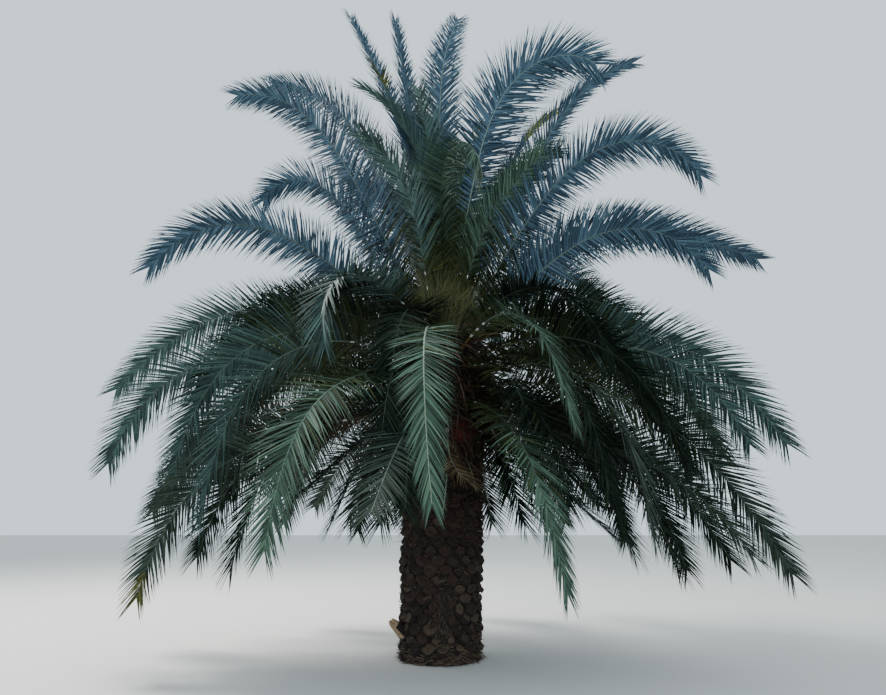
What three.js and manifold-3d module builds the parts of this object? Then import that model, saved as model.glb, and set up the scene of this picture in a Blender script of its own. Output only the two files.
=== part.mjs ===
// Date palm: a stout trunk clad in old leaf bases under a round crown of arching fronds.
// Millimetres, +Z up. The origin is the middle of the flat cut at ground level, +X is to the
// right and -Y is towards the viewer of the photograph.

import * as THREE from 'three';
import { ConvexGeometry } from 'three/addons/geometries/ConvexGeometry.js';
import { mergeVertices } from 'three/addons/utils/BufferGeometryUtils.js';
import Module from 'manifold-3d';

const wasm = await Module();
wasm.setup();

// Clearances: a petiole from the trunk, a leaflet from its neighbours, the halves of a split frond
const SEAT_GAP = 0.65;
const LEAFLET_GAP = 2;
const SPLIT_GAP = 0.3;
// Points closer than this are one point
const SAME_POINT = 1e-3;
// The side of the cubes of space that placed triangles are looked up in
const CUBE = 250;

// Trunk profile from the ground cut to the tip of the crown's heart: height, radius, lean to +X
const TRUNK_PROFILE = [
  [0, 478, 0],
  [120, 455, 0],
  [400, 460, 5],
  [1600, 462, 30],
  [2500, 455, 35],
  [3000, 470, 35],
  [3400, 415, 35],
  [3800, 350, 35],
  [4150, 240, 35],
  [4400, 110, 35],
  [4620, 45, 35],
];
const TRUNK_TOP = 4620;

// Old leaf bases: lozenges in staggered rows, each rising to a blunt point
const BASES_PER_ROW = 17;
const ROW_PITCH = 108;
const BASE_REACH = 34;
const BASE_REACH_SPREAD = 14;
const BASE_POINT_RISE = 0.42;
const BASE_SEED = 11;
// Under this radius of the trunk its bases stand out less and less
const FULL_BASE_RADIUS = 300;
// One broken frond base still sticks out near the foot, on the viewer's left
const BROKEN_BASE = { row: 4, azimuth: -160, reach: 125 };

// A frond: a three-sided rib, bare near its foot, with a row of leaflets on either side
const PETIOLE_SHARE = 0.1;
const PETIOLE_STEPS = 2;
const LEAFLET_PITCH = 352;
const SEAT_DEPTH = 90;
const FEWEST_PAIRS = 3;
const RIB_TIP_WIDTH = 11;
const RIB_TAPER_POWER = 0.55;
const RIB_DEPTH_TO_WIDTH = 0.62;
const CURVE_STEPS = 120;
const ROLL_SHARE = 0.35;
const SHEATH_STEPS = 3;
// How gently a rib bends: its spread along the rib, which is less where the bend lies further out
const BEND_SPREAD = 0.24;
const BEND_SPREAD_LOSS = 0.14;

// Leaflets lean forward along the rib, more so near its tip, and rise from it in a shallow V
const SWEEP_AT_FOOT = 66;
const SWEEP_AT_TIP = 30;
const SWEEP_POWER = 2;
const FURLED_SWEEP = 7;
const V_ANGLE = 14;
const LEAFLET_SAG = 0.12;
// Leaflets are short at the foot, full from this share on, and shorter again at the tip
const LENGTH_AT_FOOT = 0.55;
const FULL_LENGTH_SHARE = 0.22;
const LENGTH_LOST_AT_TIP = 0.5;
const LOSS_POWER = 4;
// A furled tip closes from this share of the leaflets on, over this share of them
const FURL_START = 0.35;
const FURL_LENGTH = 0.4;
// A leaflet that would touch something is tried at these shares of its length, then left out
const SHORTER = [1, 0.82, 0.64, 0.46, 0.3];
// Beside its own frond's leaflets it is tested only beyond this share of its length
const ROOT_SHARE = 0.2;

// Each frond: azimuth, seat height, rise, drop, bend, length, and what else marks it.
// The rib leaves the trunk at the angle of rise and loses the drop around the share of its
// length called bend. Roll turns the blade about the rib, sway turns its way by the tip, vee is
// how far the leaflets rise from the blade, sweep is how far they stand off the rib at its foot,
// furl closes those of the tip, and bare is the share of the rib that has none. A frond that
// hooks over is split at the share of its length called split, and one that joins another
// shares a sheath with the frond of that number in its whorl.
const WHORLS = [
  {
    name: 'spear_frond', petiole: 46, leaflet: 560, sweep: 44, fronds: [
      [154, 4570, 81, 1, 0.5, 4710, { roll: 15, furl: 0.3 }],
      [170, 4440, 85, 21, 0.48, 4950, { roll: 30, furl: 0.2 }],
      [-160, 4290, 87, 88, 0.86, 3550, { furl: 0.5 }],
      [58, 4500, 95, 40, 0.79, 4860, { roll: -30 }],
      [-23, 4370, 80, 174, 0.88, 4640, { roll: 60, leaflet: 800, sweep: 58 }],
      [14, 4270, 71, 50, 0.92, 3750, { roll: 30, furl: 0.8 }],
      [-100, 4290, 91, 200, 0.72, 3320, { sway: 70, roll: 30, vee: -35, sweep: 66, split: 0.66 }],
      [100, 4400, 80, 60, 0.85, 4300],
      [-136, 4190, 80, 75, 0.75, 2700],
      [-12, 4410, 86, 20, 0.6, 2750, { roll: 20, joins: 5 }],
      [-138, 4430, 89, 14, 0.6, 3100, { roll: -10, joins: 9 }],
      [34, 4400, 84, 30, 0.7, 3300, { roll: 20, joins: 4 }],
      [132, 4420, 85, 30, 0.7, 3600, { roll: -20, joins: 8 }],
      [-22, 4240, 74, 35, 0.6, 2500, { roll: 40, joins: 5 }],
      [177, 4265, 77, 40, 0.6, 2600, { roll: -30, joins: 3 }],
      [-8, 4180, 76, 45, 0.65, 2900, { roll: 35, joins: 6 }],
      [148, 4280, 80, 40, 0.7, 3200, { roll: -30, joins: 13 }],
    ],
  },
  {
    name: 'upper_frond', petiole: 58, leaflet: 610, fronds: [
      [167, 4310, 70, 75, 0.85, 4900, { sway: 3, roll: -40 }],
      [188, 4180, 63, 114, 0.93, 4460, { sway: -4, roll: -40 }],
      [174, 3950, 62, 190, 0.93, 3720, { roll: -40 }],
      [5, 4170, 66, 64, 0.91, 5040, { sway: -2, roll: 40, furl: 0.6 }],
      [-10, 4050, 60, 152, 0.82, 4680, { roll: 40 }],
      [60, 4060, 68, 95, 0.85, 4300, { roll: 15 }],
      [118, 4060, 68, 95, 0.85, 4300, { roll: -15 }],
    ],
  },
  {
    name: 'middle_frond', petiole: 66, leaflet: 590, fronds: [
      [190, 3890, 41, 116, 0.77, 4150, { roll: -40 }],
      [-133, 3980, 34, 154, 0.66, 2500, { split: 0.5 }],
      [4, 3960, 65, 90, 0.46, 4890, { roll: 40 }],
      [-13, 3850, 45, 120, 0.75, 3790, { roll: 40 }],
      [42, 3880, 45, 105, 0.75, 4300, { roll: 35 }],
      [75, 3900, 44, 110, 0.75, 4400, { roll: 25 }],
      [106, 3880, 45, 110, 0.75, 4400, { roll: -25 }],
      [147, 3880, 33, 95, 0.7, 4200, { roll: -35 }],
      [-112, 3860, 48, 130, 0.45, 1600, { joins: 2 }],
      [-152, 3940, 55, 120, 0.5, 2100, { joins: 2 }],
      [-36, 3900, 48, 120, 0.5, 2500, { joins: 4 }],
      [-26, 3750, 32, 110, 0.5, 2900, { roll: 25, joins: 4 }],
      [24, 3800, 40, 105, 0.65, 3900, { roll: 45, joins: 5 }],
      [126, 3800, 42, 105, 0.65, 3900, { roll: -40, joins: 8 }],
      [90, 3780, 36, 100, 0.65, 3900, { joins: 6 }],
      [172, 3800, 40, 110, 0.6, 3300, { roll: -40, joins: 8 }],
    ],
  },
  {
    name: 'lower_frond', petiole: 74, leaflet: 610, fronds: [
      [174, 3720, 29, 82, 0.59, 4640, { roll: -50 }],
      [184, 3540, 8, 92, 0.72, 4420, { roll: -50, joins: 1 }],
      [-165, 3640, 26, 112, 0.52, 3910, { roll: -45 }],
      [-149, 3560, 25, 115, 0.45, 3900, { roll: -35 }],
      [-97, 3650, 30, 106, 0.35, 3620, { sway: 26, furl: 0.4, leaflet: 470, split: 0.42 }],
      [-63, 3600, 36, 113, 0.45, 3090, { roll: 20, furl: 0.5, leaflet: 430, split: 0.45 }],
      [-47, 3470, 12, 100, 0.5, 3000],
      [-6, 3740, 15, 81, 0.6, 4470, { roll: 50 }],
      [-4, 3600, 11, 87, 0.68, 4020, { roll: 50 }],
      [3, 3450, 17, 98, 0.65, 3940, { roll: 50 }],
      [18, 3600, 26, 95, 0.5, 4200, { roll: 45, joins: 10 }],
      [40, 3620, 24, 100, 0.5, 4200, { roll: 40 }],
      [72, 3580, 24, 100, 0.5, 4200, { roll: 25 }],
      [104, 3620, 24, 100, 0.5, 4200, { roll: -25 }],
      [136, 3580, 24, 100, 0.5, 4200, { roll: -40 }],
      [156, 3640, 26, 100, 0.5, 4200, { roll: -45, joins: 15 }],
      [-112, 3500, 18, 105, 0.45, 2000, { joins: 5 }],
      [-121, 3690, 34, 118, 0.42, 1600, { joins: 5 }],
      [-57, 3440, 8, 100, 0.45, 2300, { leaflet: 480, joins: 6 }],
      [-30, 3580, 22, 100, 0.5, 3400, { roll: 35, joins: 8 }],
      [-178, 3760, 42, 110, 0.5, 3500, { roll: -45, joins: 2 }],
    ],
  },
  {
    name: 'skirt_frond', petiole: 74, leaflet: 590, fronds: [
      [-126, 3300, 3, 91, 0.53, 3480, { roll: 20 }],
      [-139, 3320, 6, 95, 0.5, 2900, { roll: -30, joins: 1 }],
      [172, 3350, 16, 90, 0.55, 4150, { roll: -50 }],
      [-64, 3040, -8, 68, 0.45, 3130, { furl: 0.5, leaflet: 480 }],
      [-50, 3200, 0, 85, 0.5, 2400, { joins: 4 }],
      [-43, 3290, 19, 107, 0.47, 3560, { sway: -5, roll: 10, furl: 0.5 }],
      [-20, 3290, 2, 70, 0.5, 4410, { sway: 8, roll: 50 }],
      [52, 3280, 8, 80, 0.5, 3600, { roll: 30 }],
      [30, 3300, 6, 85, 0.5, 3700, { roll: 45, joins: 8 }],
      [96, 3300, 8, 80, 0.5, 3600, { roll: 20 }],
      [140, 3280, 8, 80, 0.5, 3600, { roll: -40 }],
      [118, 3240, 4, 80, 0.5, 3400, { roll: -25, joins: 11 }],
      [-27, 3110, -6, 70, 0.5, 3300, { roll: 30, joins: 7 }],
      [-37, 3060, -12, 60, 0.5, 2800, { joins: 6 }],
      [-102, 3140, -4, 85, 0.5, 2200, { joins: 1 }],
      [-152, 3120, -4, 80, 0.5, 3200, { roll: -40, joins: 2 }],
      [4, 3160, -2, 75, 0.5, 3700, { roll: 45, joins: 7 }],
    ],
  },
  {
    name: 'bottom_frond', petiole: 70, leaflet: 560, fronds: [
      [-104, 2960, -14, 32, 0.46, 2520],
      [-84, 2760, -84, -50, 0.5, 950, { sway: 75, bare: 0.5, leaflet: 330, joins: 1 }],
      [-132, 2940, -26, 14, 0.5, 2050, { roll: -25 }],
      [-160, 2960, -12, 75, 0.69, 3950, { roll: -60 }],
      [-171, 2980, -6, 75, 0.6, 3300, { roll: -50, joins: 4 }],
      [170, 2990, -6, 80, 0.85, 3950, { roll: -45 }],
      [-24, 2950, -18, 50, 0.79, 3550, { roll: 40 }],
      [-10, 2980, -8, 60, 0.6, 3600, { roll: 50, joins: 7 }],
      [-49, 2900, -34, 4, 0.6, 2480, { roll: 25 }],
      [38, 2960, -2, 45, 0.5, 2900, { roll: 35 }],
      [85, 2940, -2, 45, 0.5, 2900],
      [132, 2960, -2, 45, 0.5, 2900, { roll: -35 }],
      [-50, 2800, -30, 40, 0.4, 1600, { joins: 9 }],
      [-124, 2800, -35, 40, 0.4, 1500, { joins: 3 }],
      [-32, 2790, -30, 40, 0.4, 1600, { joins: 7 }],
      [-4, 2800, -30, 40, 0.4, 1600, { joins: 8 }],
      [60, 2800, -30, 40, 0.4, 1600, { joins: 10 }],
      [110, 2800, -30, 40, 0.4, 1600, { joins: 11 }],
      [154, 2800, -30, 40, 0.4, 1600, { joins: 12 }],
      [-163, 2790, -30, 40, 0.4, 1600, { joins: 4 }],
    ],
  },
];

// A bunch of spent fruit strands hangs in front of the trunk on one stalk
const FRUIT = {
  azimuth: -68, seat: 2760, rise: 12, drop: 80, bend: 0.5, length: 330, petiole: 40,
  bunch: [150, 135, 165], strandReach: 0.3,
};

const UP = new THREE.Vector3(0, 0, 1);
const radians = THREE.MathUtils.degToRad;
const lerp = THREE.MathUtils.lerp;
const smooth = (x) => THREE.MathUtils.smoothstep(x, 0, 1);

// A plain seeded generator keeps the same spread in every run
function seededRandom(seed) {
  let state = seed;
  return () => {
    state = (state * 1664525 + 1013904223) % 4294967296;
    return state / 4294967296;
  };
}

// Trunk radius and lean at a height, straight between the heights of the profile
function trunkAt(height) {
  const upper = TRUNK_PROFILE.findIndex(([z]) => z >= height);
  if (upper <= 0) {
    const [, radius, lean] = TRUNK_PROFILE[upper === 0 ? 0 : TRUNK_PROFILE.length - 1];
    return { radius, lean };
  }
  const [z0, r0, lean0] = TRUNK_PROFILE[upper - 1];
  const [z1, r1, lean1] = TRUNK_PROFILE[upper];
  const share = (height - z0) / (z1 - z0);
  return { radius: lerp(r0, r1, share), lean: lerp(lean0, lean1, share) };
}

// A point on the trunk's surface, or a little off it
function trunkPoint(height, azimuth, reach) {
  const { radius, lean } = trunkAt(height);
  const r = radius + reach;
  return new THREE.Vector3(lean + r * Math.cos(azimuth), r * Math.sin(azimuth), height);
}

// Indexed triangles become one geometry
function geometryOf(points, faces) {
  const geometry = new THREE.BufferGeometry();
  geometry.setAttribute('position', new THREE.Float32BufferAttribute(points.flatMap((p) => p.toArray()), 3));
  geometry.setIndex(faces.flat());
  return geometry;
}

function solidOf(geometry) {
  const bare = geometry.clone();
  bare.deleteAttribute('normal');
  bare.deleteAttribute('uv');
  const merged = mergeVertices(bare, SAME_POINT);
  return new wasm.Manifold(new wasm.Mesh({
    numProp: 3,
    vertProperties: new Float32Array(merged.attributes.position.array),
    triVerts: new Uint32Array(merged.index.array),
  }));
}

// The largest body of a cut solid, as a geometry
function geometryOfLargest(solid) {
  const bodies = solid.decompose().sort((a, b) => b.volume() - a.volume());
  const mesh = bodies[0].getMesh();
  const geometry = new THREE.BufferGeometry();
  geometry.setAttribute('position', new THREE.Float32BufferAttribute(mesh.vertProperties, 3));
  geometry.setIndex([...mesh.triVerts]);
  return geometry;
}

// The trunk: rows of lozenges whose corners lie on the profile, turned half a step in each row.
// grow moves the whole surface outwards, for the clearance of what is seated on it.
function trunkGeometry(grow) {
  const random = seededRandom(BASE_SEED);
  const rows = Math.round(TRUNK_TOP / ROW_PITCH);
  const turn = (2 * Math.PI) / BASES_PER_ROW;
  const points = [];
  const faces = [];
  const azimuthOf = (row, column) => (column + (row % 2) / 2) * turn;
  const corner = (row, column) => row * BASES_PER_ROW + ((column + BASES_PER_ROW) % BASES_PER_ROW);
  for (let row = 0; row <= rows; row++) {
    for (let column = 0; column < BASES_PER_ROW; column++) {
      points.push(trunkPoint((row * TRUNK_TOP) / rows, azimuthOf(row, column), grow));
    }
  }
  const brokenAzimuth = radians(BROKEN_BASE.azimuth) + 2 * Math.PI;
  for (let row = 0; row <= rows; row++) {
    for (let column = 0; column < BASES_PER_ROW; column++) {
      // The corners of the next and the last row lie between this column and the one after it
      const between = column + (row % 2);
      const left = corner(row, column);
      const right = corner(row, column + 1);
      const below = row > 0 ? corner(row - 1, between) : null;
      const above = row < rows ? corner(row + 1, between) : null;
      if (below === null) {
        faces.push([left, right, above]);
        continue;
      }
      if (above === null) {
        faces.push([left, below, right]);
        continue;
      }
      const height = ((row + BASE_POINT_RISE) * TRUNK_TOP) / rows;
      const azimuth = azimuthOf(row, column) + turn / 2;
      const broken = row === BROKEN_BASE.row && Math.abs(azimuth - brokenAzimuth) < turn / 2;
      const reach = BASE_REACH + BASE_REACH_SPREAD * (random() - 0.5) * 2;
      const narrow = Math.min(1, trunkAt(height).radius / FULL_BASE_RADIUS);
      const tip = points.length;
      points.push(trunkPoint(height, azimuth, grow + (broken ? BROKEN_BASE.reach : reach * narrow)));
      faces.push([left, below, tip], [below, right, tip], [right, above, tip], [above, left, tip]);
    }
  }
  // Flat cuts at the ground and at the tip
  for (let column = 1; column < BASES_PER_ROW - 1; column++) {
    faces.push([corner(0, 0), corner(0, column + 1), corner(0, column)]);
    faces.push([corner(rows, 0), corner(rows, column), corner(rows, column + 1)]);
  }
  for (let column = 0; column < BASES_PER_ROW; column++) {
    points[corner(rows, column)].z += grow;
  }
  return geometryOf(points, faces);
}

// A row of the table with a name to every value
function namedFrond(whorl, row) {
  const [azimuth, seat, rise, drop, bend, length, marks = {}] = row;
  return {
    sweep: SWEEP_AT_FOOT, ...whorl, azimuth, seat, rise, drop, bend, length,
    roll: 0, furl: 0, sway: 0, vee: V_ANGLE, bare: PETIOLE_SHARE, split: 0, joins: 0, ...marks,
  };
}

// The rib's path: frames with a point, the way along the rib, to its right and out of its top
function ribFrames(frond) {
  const azimuth = radians(frond.azimuth);
  const spread = BEND_SPREAD - BEND_SPREAD_LOSS * frond.bend;
  const point = trunkPoint(frond.seat, azimuth, 0);
  const frames = [];
  for (let step = 0; step <= CURVE_STEPS; step++) {
    const share = step / CURVE_STEPS;
    const way = azimuth + radians(frond.sway) * share * share;
    const heading = new THREE.Vector3(Math.cos(way), Math.sin(way), 0);
    const right = new THREE.Vector3(Math.sin(way), -Math.cos(way), 0);
    const lost = frond.drop / (1 + Math.exp((frond.bend - share) / spread));
    const elevation = radians(frond.rise - lost);
    const along = heading.clone()
      .multiplyScalar(Math.cos(elevation))
      .addScaledVector(UP, Math.sin(elevation));
    const top = new THREE.Vector3().crossVectors(right, along);
    const roll = radians(frond.roll) * smooth(share / ROLL_SHARE);
    const side = right.clone().multiplyScalar(Math.cos(roll)).addScaledVector(top, Math.sin(roll));
    top.multiplyScalar(Math.cos(roll)).addScaledVector(right, -Math.sin(roll));
    if (step > 0) point.addScaledVector(along, frond.length / CURVE_STEPS);
    frames.push({ share, point: point.clone(), along, side, top });
  }
  return frames;
}

// The rib's rings: top ridge and lower left and right edges
function ribRing(frond, frame) {
  const width = lerp(frond.petiole, RIB_TIP_WIDTH, frame.share ** RIB_TAPER_POWER);
  const depth = width * RIB_DEPTH_TO_WIDTH;
  const at = (side, top) => frame.point.clone()
    .addScaledVector(frame.side, side)
    .addScaledVector(frame.top, top);
  return {
    ...frame,
    ridge: at(0, depth / 2),
    left: at(-width / 2, -depth / 2),
    right: at(width / 2, -depth / 2),
  };
}

// A rib's foot starts inside the trunk, so that the cut leaves it seated
function sunkFoot([first]) {
  return { ...first, point: first.point.clone().addScaledVector(first.along, -SEAT_DEPTH) };
}

function ribRings(frond) {
  const frames = ribFrames(frond);
  const pairs = Math.max(FEWEST_PAIRS, Math.round((frond.length * (1 - frond.bare)) / LEAFLET_PITCH));
  const shares = [];
  for (let i = 0; i < PETIOLE_STEPS; i++) shares.push((frond.bare * i) / PETIOLE_STEPS);
  for (let i = 0; i <= pairs; i++) shares.push(lerp(frond.bare, 1, i / pairs));
  const rings = shares.map((share) => ribRing(frond, frames[Math.round(share * CURVE_STEPS)]));
  return [ribRing(frond, sunkFoot(frames)), ...rings];
}

// A leaflet: a long pyramid on one side face of the rib, between two rings
function leaflet(frond, from, to, sign, scale) {
  const edge = sign > 0 ? 'right' : 'left';
  const base = [from.ridge, from[edge], to[edge], to.ridge];
  const share = (from.share + to.share) / 2;
  const along = (share - frond.bare) / (1 - frond.bare);
  const fullness = lerp(LENGTH_AT_FOOT, 1, smooth(along / FULL_LENGTH_SHARE))
    * (1 - LENGTH_LOST_AT_TIP * along ** LOSS_POWER);
  const furled = frond.furl * smooth((along - FURL_START) / FURL_LENGTH);
  const openSweep = lerp(frond.sweep, SWEEP_AT_TIP, along ** SWEEP_POWER);
  const sweep = radians(lerp(openSweep, FURLED_SWEEP, furled));
  const rise = radians(frond.vee);
  const middle = base.reduce((sum, p) => sum.add(p), new THREE.Vector3()).divideScalar(4);
  const tip = from.along.clone().multiplyScalar(Math.cos(sweep))
    .addScaledVector(from.side, sign * Math.sin(sweep) * Math.cos(rise))
    .addScaledVector(from.top, Math.sin(sweep) * Math.sin(rise))
    .addScaledVector(UP, -LEAFLET_SAG * Math.sin(sweep))
    .normalize()
    .multiplyScalar(frond.leaflet * fullness * scale)
    .add(middle);
  return { base, middle, tip };
}

// A leaflet grown by its clearance, or shrunk away from its root, as loose triangles
function leafletTriangles({ base, middle, tip }, grow, offRoot = 0) {
  const away = (p) => p.clone().addScaledVector(p.clone().sub(middle).normalize(), grow).lerp(tip, offRoot);
  const foot = base.map(away);
  const end = tip.clone().addScaledVector(tip.clone().sub(middle).normalize(), grow);
  return [0, 1, 2, 3].map((i) => [foot[i], foot[(i + 1) % 4], end]);
}

// What is already placed, in cubes of space, to find what a new leaflet would touch
class PlacedTriangles {
  constructor() {
    this.cubes = new Map();
    this.ray = new THREE.Ray();
    this.hit = new THREE.Vector3();
  }

  * cubeNamesOf(triangle) {
    const box = new THREE.Box3().setFromPoints(triangle);
    for (let x = Math.floor(box.min.x / CUBE); x <= Math.floor(box.max.x / CUBE); x++) {
      for (let y = Math.floor(box.min.y / CUBE); y <= Math.floor(box.max.y / CUBE); y++) {
        for (let z = Math.floor(box.min.z / CUBE); z <= Math.floor(box.max.z / CUBE); z++) {
          yield `${x},${y},${z}`;
        }
      }
    }
  }

  add(triangles, owner) {
    for (const triangle of triangles) {
      const entry = { triangle, owner, box: new THREE.Box3().setFromPoints(triangle) };
      for (const name of this.cubeNamesOf(triangle)) {
        if (!this.cubes.has(name)) this.cubes.set(name, []);
        this.cubes.get(name).push(entry);
      }
    }
  }

  edgesPierce(edges, pierced) {
    return edges.some((start, i) => {
      const end = edges[(i + 1) % 3];
      this.ray.set(start, end.clone().sub(start).normalize());
      const hit = this.ray.intersectTriangle(...pierced, false, this.hit);
      return hit !== null && hit.distanceTo(start) <= end.distanceTo(start);
    });
  }

  // Whether any of the triangles crosses one placed by an owner that counts
  meets(triangles, counts) {
    return triangles.some((triangle) => {
      const box = new THREE.Box3().setFromPoints(triangle);
      for (const name of this.cubeNamesOf(triangle)) {
        for (const entry of this.cubes.get(name) ?? []) {
          if (!counts(entry.owner) || !entry.box.intersectsBox(box)) continue;
          if (this.edgesPierce(triangle, entry.triangle)) return true;
          if (this.edgesPierce(entry.triangle, triangle)) return true;
        }
      }
      return false;
    });
  }
}

function trianglesOf(geometry) {
  const position = geometry.attributes.position;
  const corner = (i) => new THREE.Vector3().fromBufferAttribute(position, geometry.index.array[i]);
  const triangles = [];
  for (let i = 0; i < geometry.index.count; i += 3) {
    triangles.push([corner(i), corner(i + 1), corner(i + 2)]);
  }
  return triangles;
}

// One closed frond, or one stretch of it, between the ring numbers first and last
function frondGeometry(rings, leaflets, first, last, shift) {
  const points = [];
  const faces = [];
  const ringStart = [];
  for (let i = first; i <= last; i++) {
    const offset = i === first ? shift : 0;
    ringStart[i] = points.length;
    for (const name of ['ridge', 'left', 'right']) {
      points.push(rings[i][name].clone().addScaledVector(rings[i].along, offset));
    }
  }
  for (let i = first; i < last; i++) {
    const [ridge, left, right] = [0, 1, 2].map((k) => ringStart[i] + k);
    const [nextRidge, nextLeft, nextRight] = [0, 1, 2].map((k) => ringStart[i + 1] + k);
    faces.push([left, nextRight, right], [left, nextLeft, nextRight]);
    const sides = [
      [left, ridge, nextRidge, nextLeft, leaflets[i]?.left],
      [ridge, right, nextRight, nextRidge, leaflets[i]?.right],
    ];
    for (const [a, b, c, d, blade] of sides) {
      if (!blade) {
        faces.push([a, b, c], [a, c, d]);
        continue;
      }
      const tip = points.length;
      points.push(blade.tip);
      faces.push([a, b, tip], [b, c, tip], [c, d, tip], [d, a, tip]);
    }
  }
  faces.push([ringStart[first], ringStart[first] + 1, ringStart[first] + 2]);
  faces.push([ringStart[last], ringStart[last] + 2, ringStart[last] + 1]);
  return geometryOf(points, faces);
}

// The sheath that two neighbouring fronds share: the hull of their feet, out to the bare rib
function sheathSolid(one, other) {
  const feet = [one, other].flatMap(({ rings }) => [0, 1].map((i) => rings[i]));
  const outer = [one, other].map((frond) => ribRing(frond, ribFrames(frond)[SHEATH_STEPS]));
  const corners = [...feet, ...outer].flatMap(({ ridge, left, right }) => [ridge, left, right]);
  return solidOf(new ConvexGeometry(corners));
}

// The fruit bunch: a ball of strand tips on its stalk
function fruitSolid() {
  const frond = { ...FRUIT, roll: 0, sway: 0 };
  const frames = ribFrames(frond);
  const middle = frames[Math.round(CURVE_STEPS / 2)];
  const rings = [sunkFoot(frames), frames[0], middle, frames[CURVE_STEPS]]
    .map((frame) => ribRing(frond, frame));
  const stalk = solidOf(frondGeometry(rings, [], 0, rings.length - 1, 0));
  const round = new THREE.IcosahedronGeometry(1, 1).deleteAttribute('normal').deleteAttribute('uv');
  const ball = mergeVertices(round, SAME_POINT);
  const points = [];
  const faces = [];
  const size = new THREE.Vector3(...FRUIT.bunch);
  for (let i = 0; i < ball.attributes.position.count; i++) {
    points.push(new THREE.Vector3().fromBufferAttribute(ball.attributes.position, i));
  }
  for (const corners of trianglesOf(ball)) {
    const ids = corners.map((p) => points.findIndex((q) => q.distanceTo(p) < SAME_POINT));
    const tip = corners[0].clone().add(corners[1]).add(corners[2]).normalize();
    faces.push(...[0, 1, 2].map((i) => [ids[i], ids[(i + 1) % 3], points.length]));
    points.push(tip.multiplyScalar(1 + FRUIT.strandReach));
  }
  const centre = frames[CURVE_STEPS].point.clone();
  size.divideScalar(1 + FRUIT.strandReach);
  const shaped = points.map((p) => p.clone().multiply(size).add(centre));
  return stalk.add(solidOf(geometryOf(shaped, faces)));
}

// The upper whorls are blue-grey, the lower ones a darker green
const HIGH_WHORLS = ['spear_frond', 'upper_frond'];
const MATERIALS = {
  trunk: new THREE.MeshStandardMaterial({ color: '#5c4a3c', roughness: 0.95, metalness: 0 }),
  high: new THREE.MeshStandardMaterial({ color: '#4f6674', roughness: 0.6, metalness: 0 }),
  low: new THREE.MeshStandardMaterial({ color: '#3d4b3d', roughness: 0.7, metalness: 0 }),
  fruit: new THREE.MeshStandardMaterial({ color: '#a65a32', roughness: 0.8, metalness: 0 }),
};

function addMesh(group, name, geometry, material) {
  const mesh = new THREE.Mesh(geometry, material);
  mesh.name = name;
  group.add(mesh);
}

function buildPalm() {
  const palm = new THREE.Group();
  palm.name = 'date_palm';
  const trunk = trunkGeometry(0);
  addMesh(palm, 'trunk', trunk, MATERIALS.trunk);
  const keepOut = solidOf(trunkGeometry(SEAT_GAP));

  const placed = new PlacedTriangles();
  placed.add(trianglesOf(trunk), 'trunk');
  const fruit = geometryOfLargest(fruitSolid().subtract(keepOut));
  addMesh(palm, 'fruit_bunch', fruit, MATERIALS.fruit);
  placed.add(trianglesOf(fruit), 'fruit_bunch');

  const fronds = WHORLS.flatMap(({ fronds: rows, ...whorl }) => rows.map((row, i) => ({
    ...namedFrond(whorl, row),
    name: `${whorl.name}_${i + 1}`,
    whorl: whorl.name,
    material: HIGH_WHORLS.includes(whorl.name) ? MATERIALS.high : MATERIALS.low,
  })));
  for (const frond of fronds) {
    frond.rings = ribRings(frond);
    frond.leaflets = frond.rings.map(() => ({}));
    placed.add(trianglesOf(frondGeometry(frond.rings, [], 0, frond.rings.length - 1, 0)), frond.name);
  }

  // Leaflets grow where they clear everything placed so far, shorter where the room is less
  for (const frond of fronds) {
    for (let i = PETIOLE_STEPS + 1; i < frond.rings.length - 1; i++) {
      for (const [edge, sign] of [['left', -1], ['right', 1]]) {
        const isOther = (owner) => owner !== frond.name;
        const isSame = (owner) => owner === frond.name;
        const fits = SHORTER
          .map((scale) => leaflet(frond, frond.rings[i], frond.rings[i + 1], sign, scale))
          .filter((blade) => !placed.meets(leafletTriangles(blade, LEAFLET_GAP), isOther))
          .find((blade) => !placed.meets(leafletTriangles(blade, 0, ROOT_SHARE), isSame));
        if (!fits) continue;
        frond.leaflets[i][edge] = fits;
        placed.add(leafletTriangles(fits, 0), frond.name);
      }
    }
  }

  // Each frond is cut where it seats, and takes in those that join it
  const bodies = [];
  for (const frond of fronds) {
    const last = frond.rings.length - 1;
    const cut = frond.split ? frond.rings.findIndex((ring) => ring.share >= frond.split) : last;
    const solid = solidOf(frondGeometry(frond.rings, frond.leaflets, 0, cut, 0));
    if (frond.joins) {
      const neighbour = fronds.find(({ name }) => name === `${frond.whorl}_${frond.joins}`);
      const body = bodies.find(({ members }) => members.includes(neighbour));
      body.solid = body.solid.add(solid).add(sheathSolid(neighbour, frond));
      body.members.push(frond);
    } else {
      bodies.push({ members: [frond], solid });
    }
    if (cut < last) {
      const outer = frondGeometry(frond.rings, frond.leaflets, cut, last, SPLIT_GAP);
      addMesh(palm, `${frond.name}_tip`, outer, frond.material);
    }
  }
  for (const { members: [frond], solid } of bodies) {
    addMesh(palm, frond.name, geometryOfLargest(solid.subtract(keepOut)), frond.material);
  }
  return palm;
}

export default buildPalm();
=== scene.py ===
# %% [markdown]
# A date palm, dressed for its picture.
# The solids of this tree are already right in place and size: a trunk, a bunch of fruit
# strands, and ninety-eight fronds with thin blades and pyramids for their leaflets. This
# script keeps every place and every curve, and grows the fine parts along them: the real
# leaflets, the rounded ribs with their spines, the cut leaf bases that clad the trunk, and
# the fibres between them.
# Everything is in metres. The tree stands on the origin, +Z is up, and -Y faces the viewer.

# %% Load the frame
import math

import bmesh
import bpy
import numpy as np
from mathutils import Matrix, Vector, noise


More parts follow.
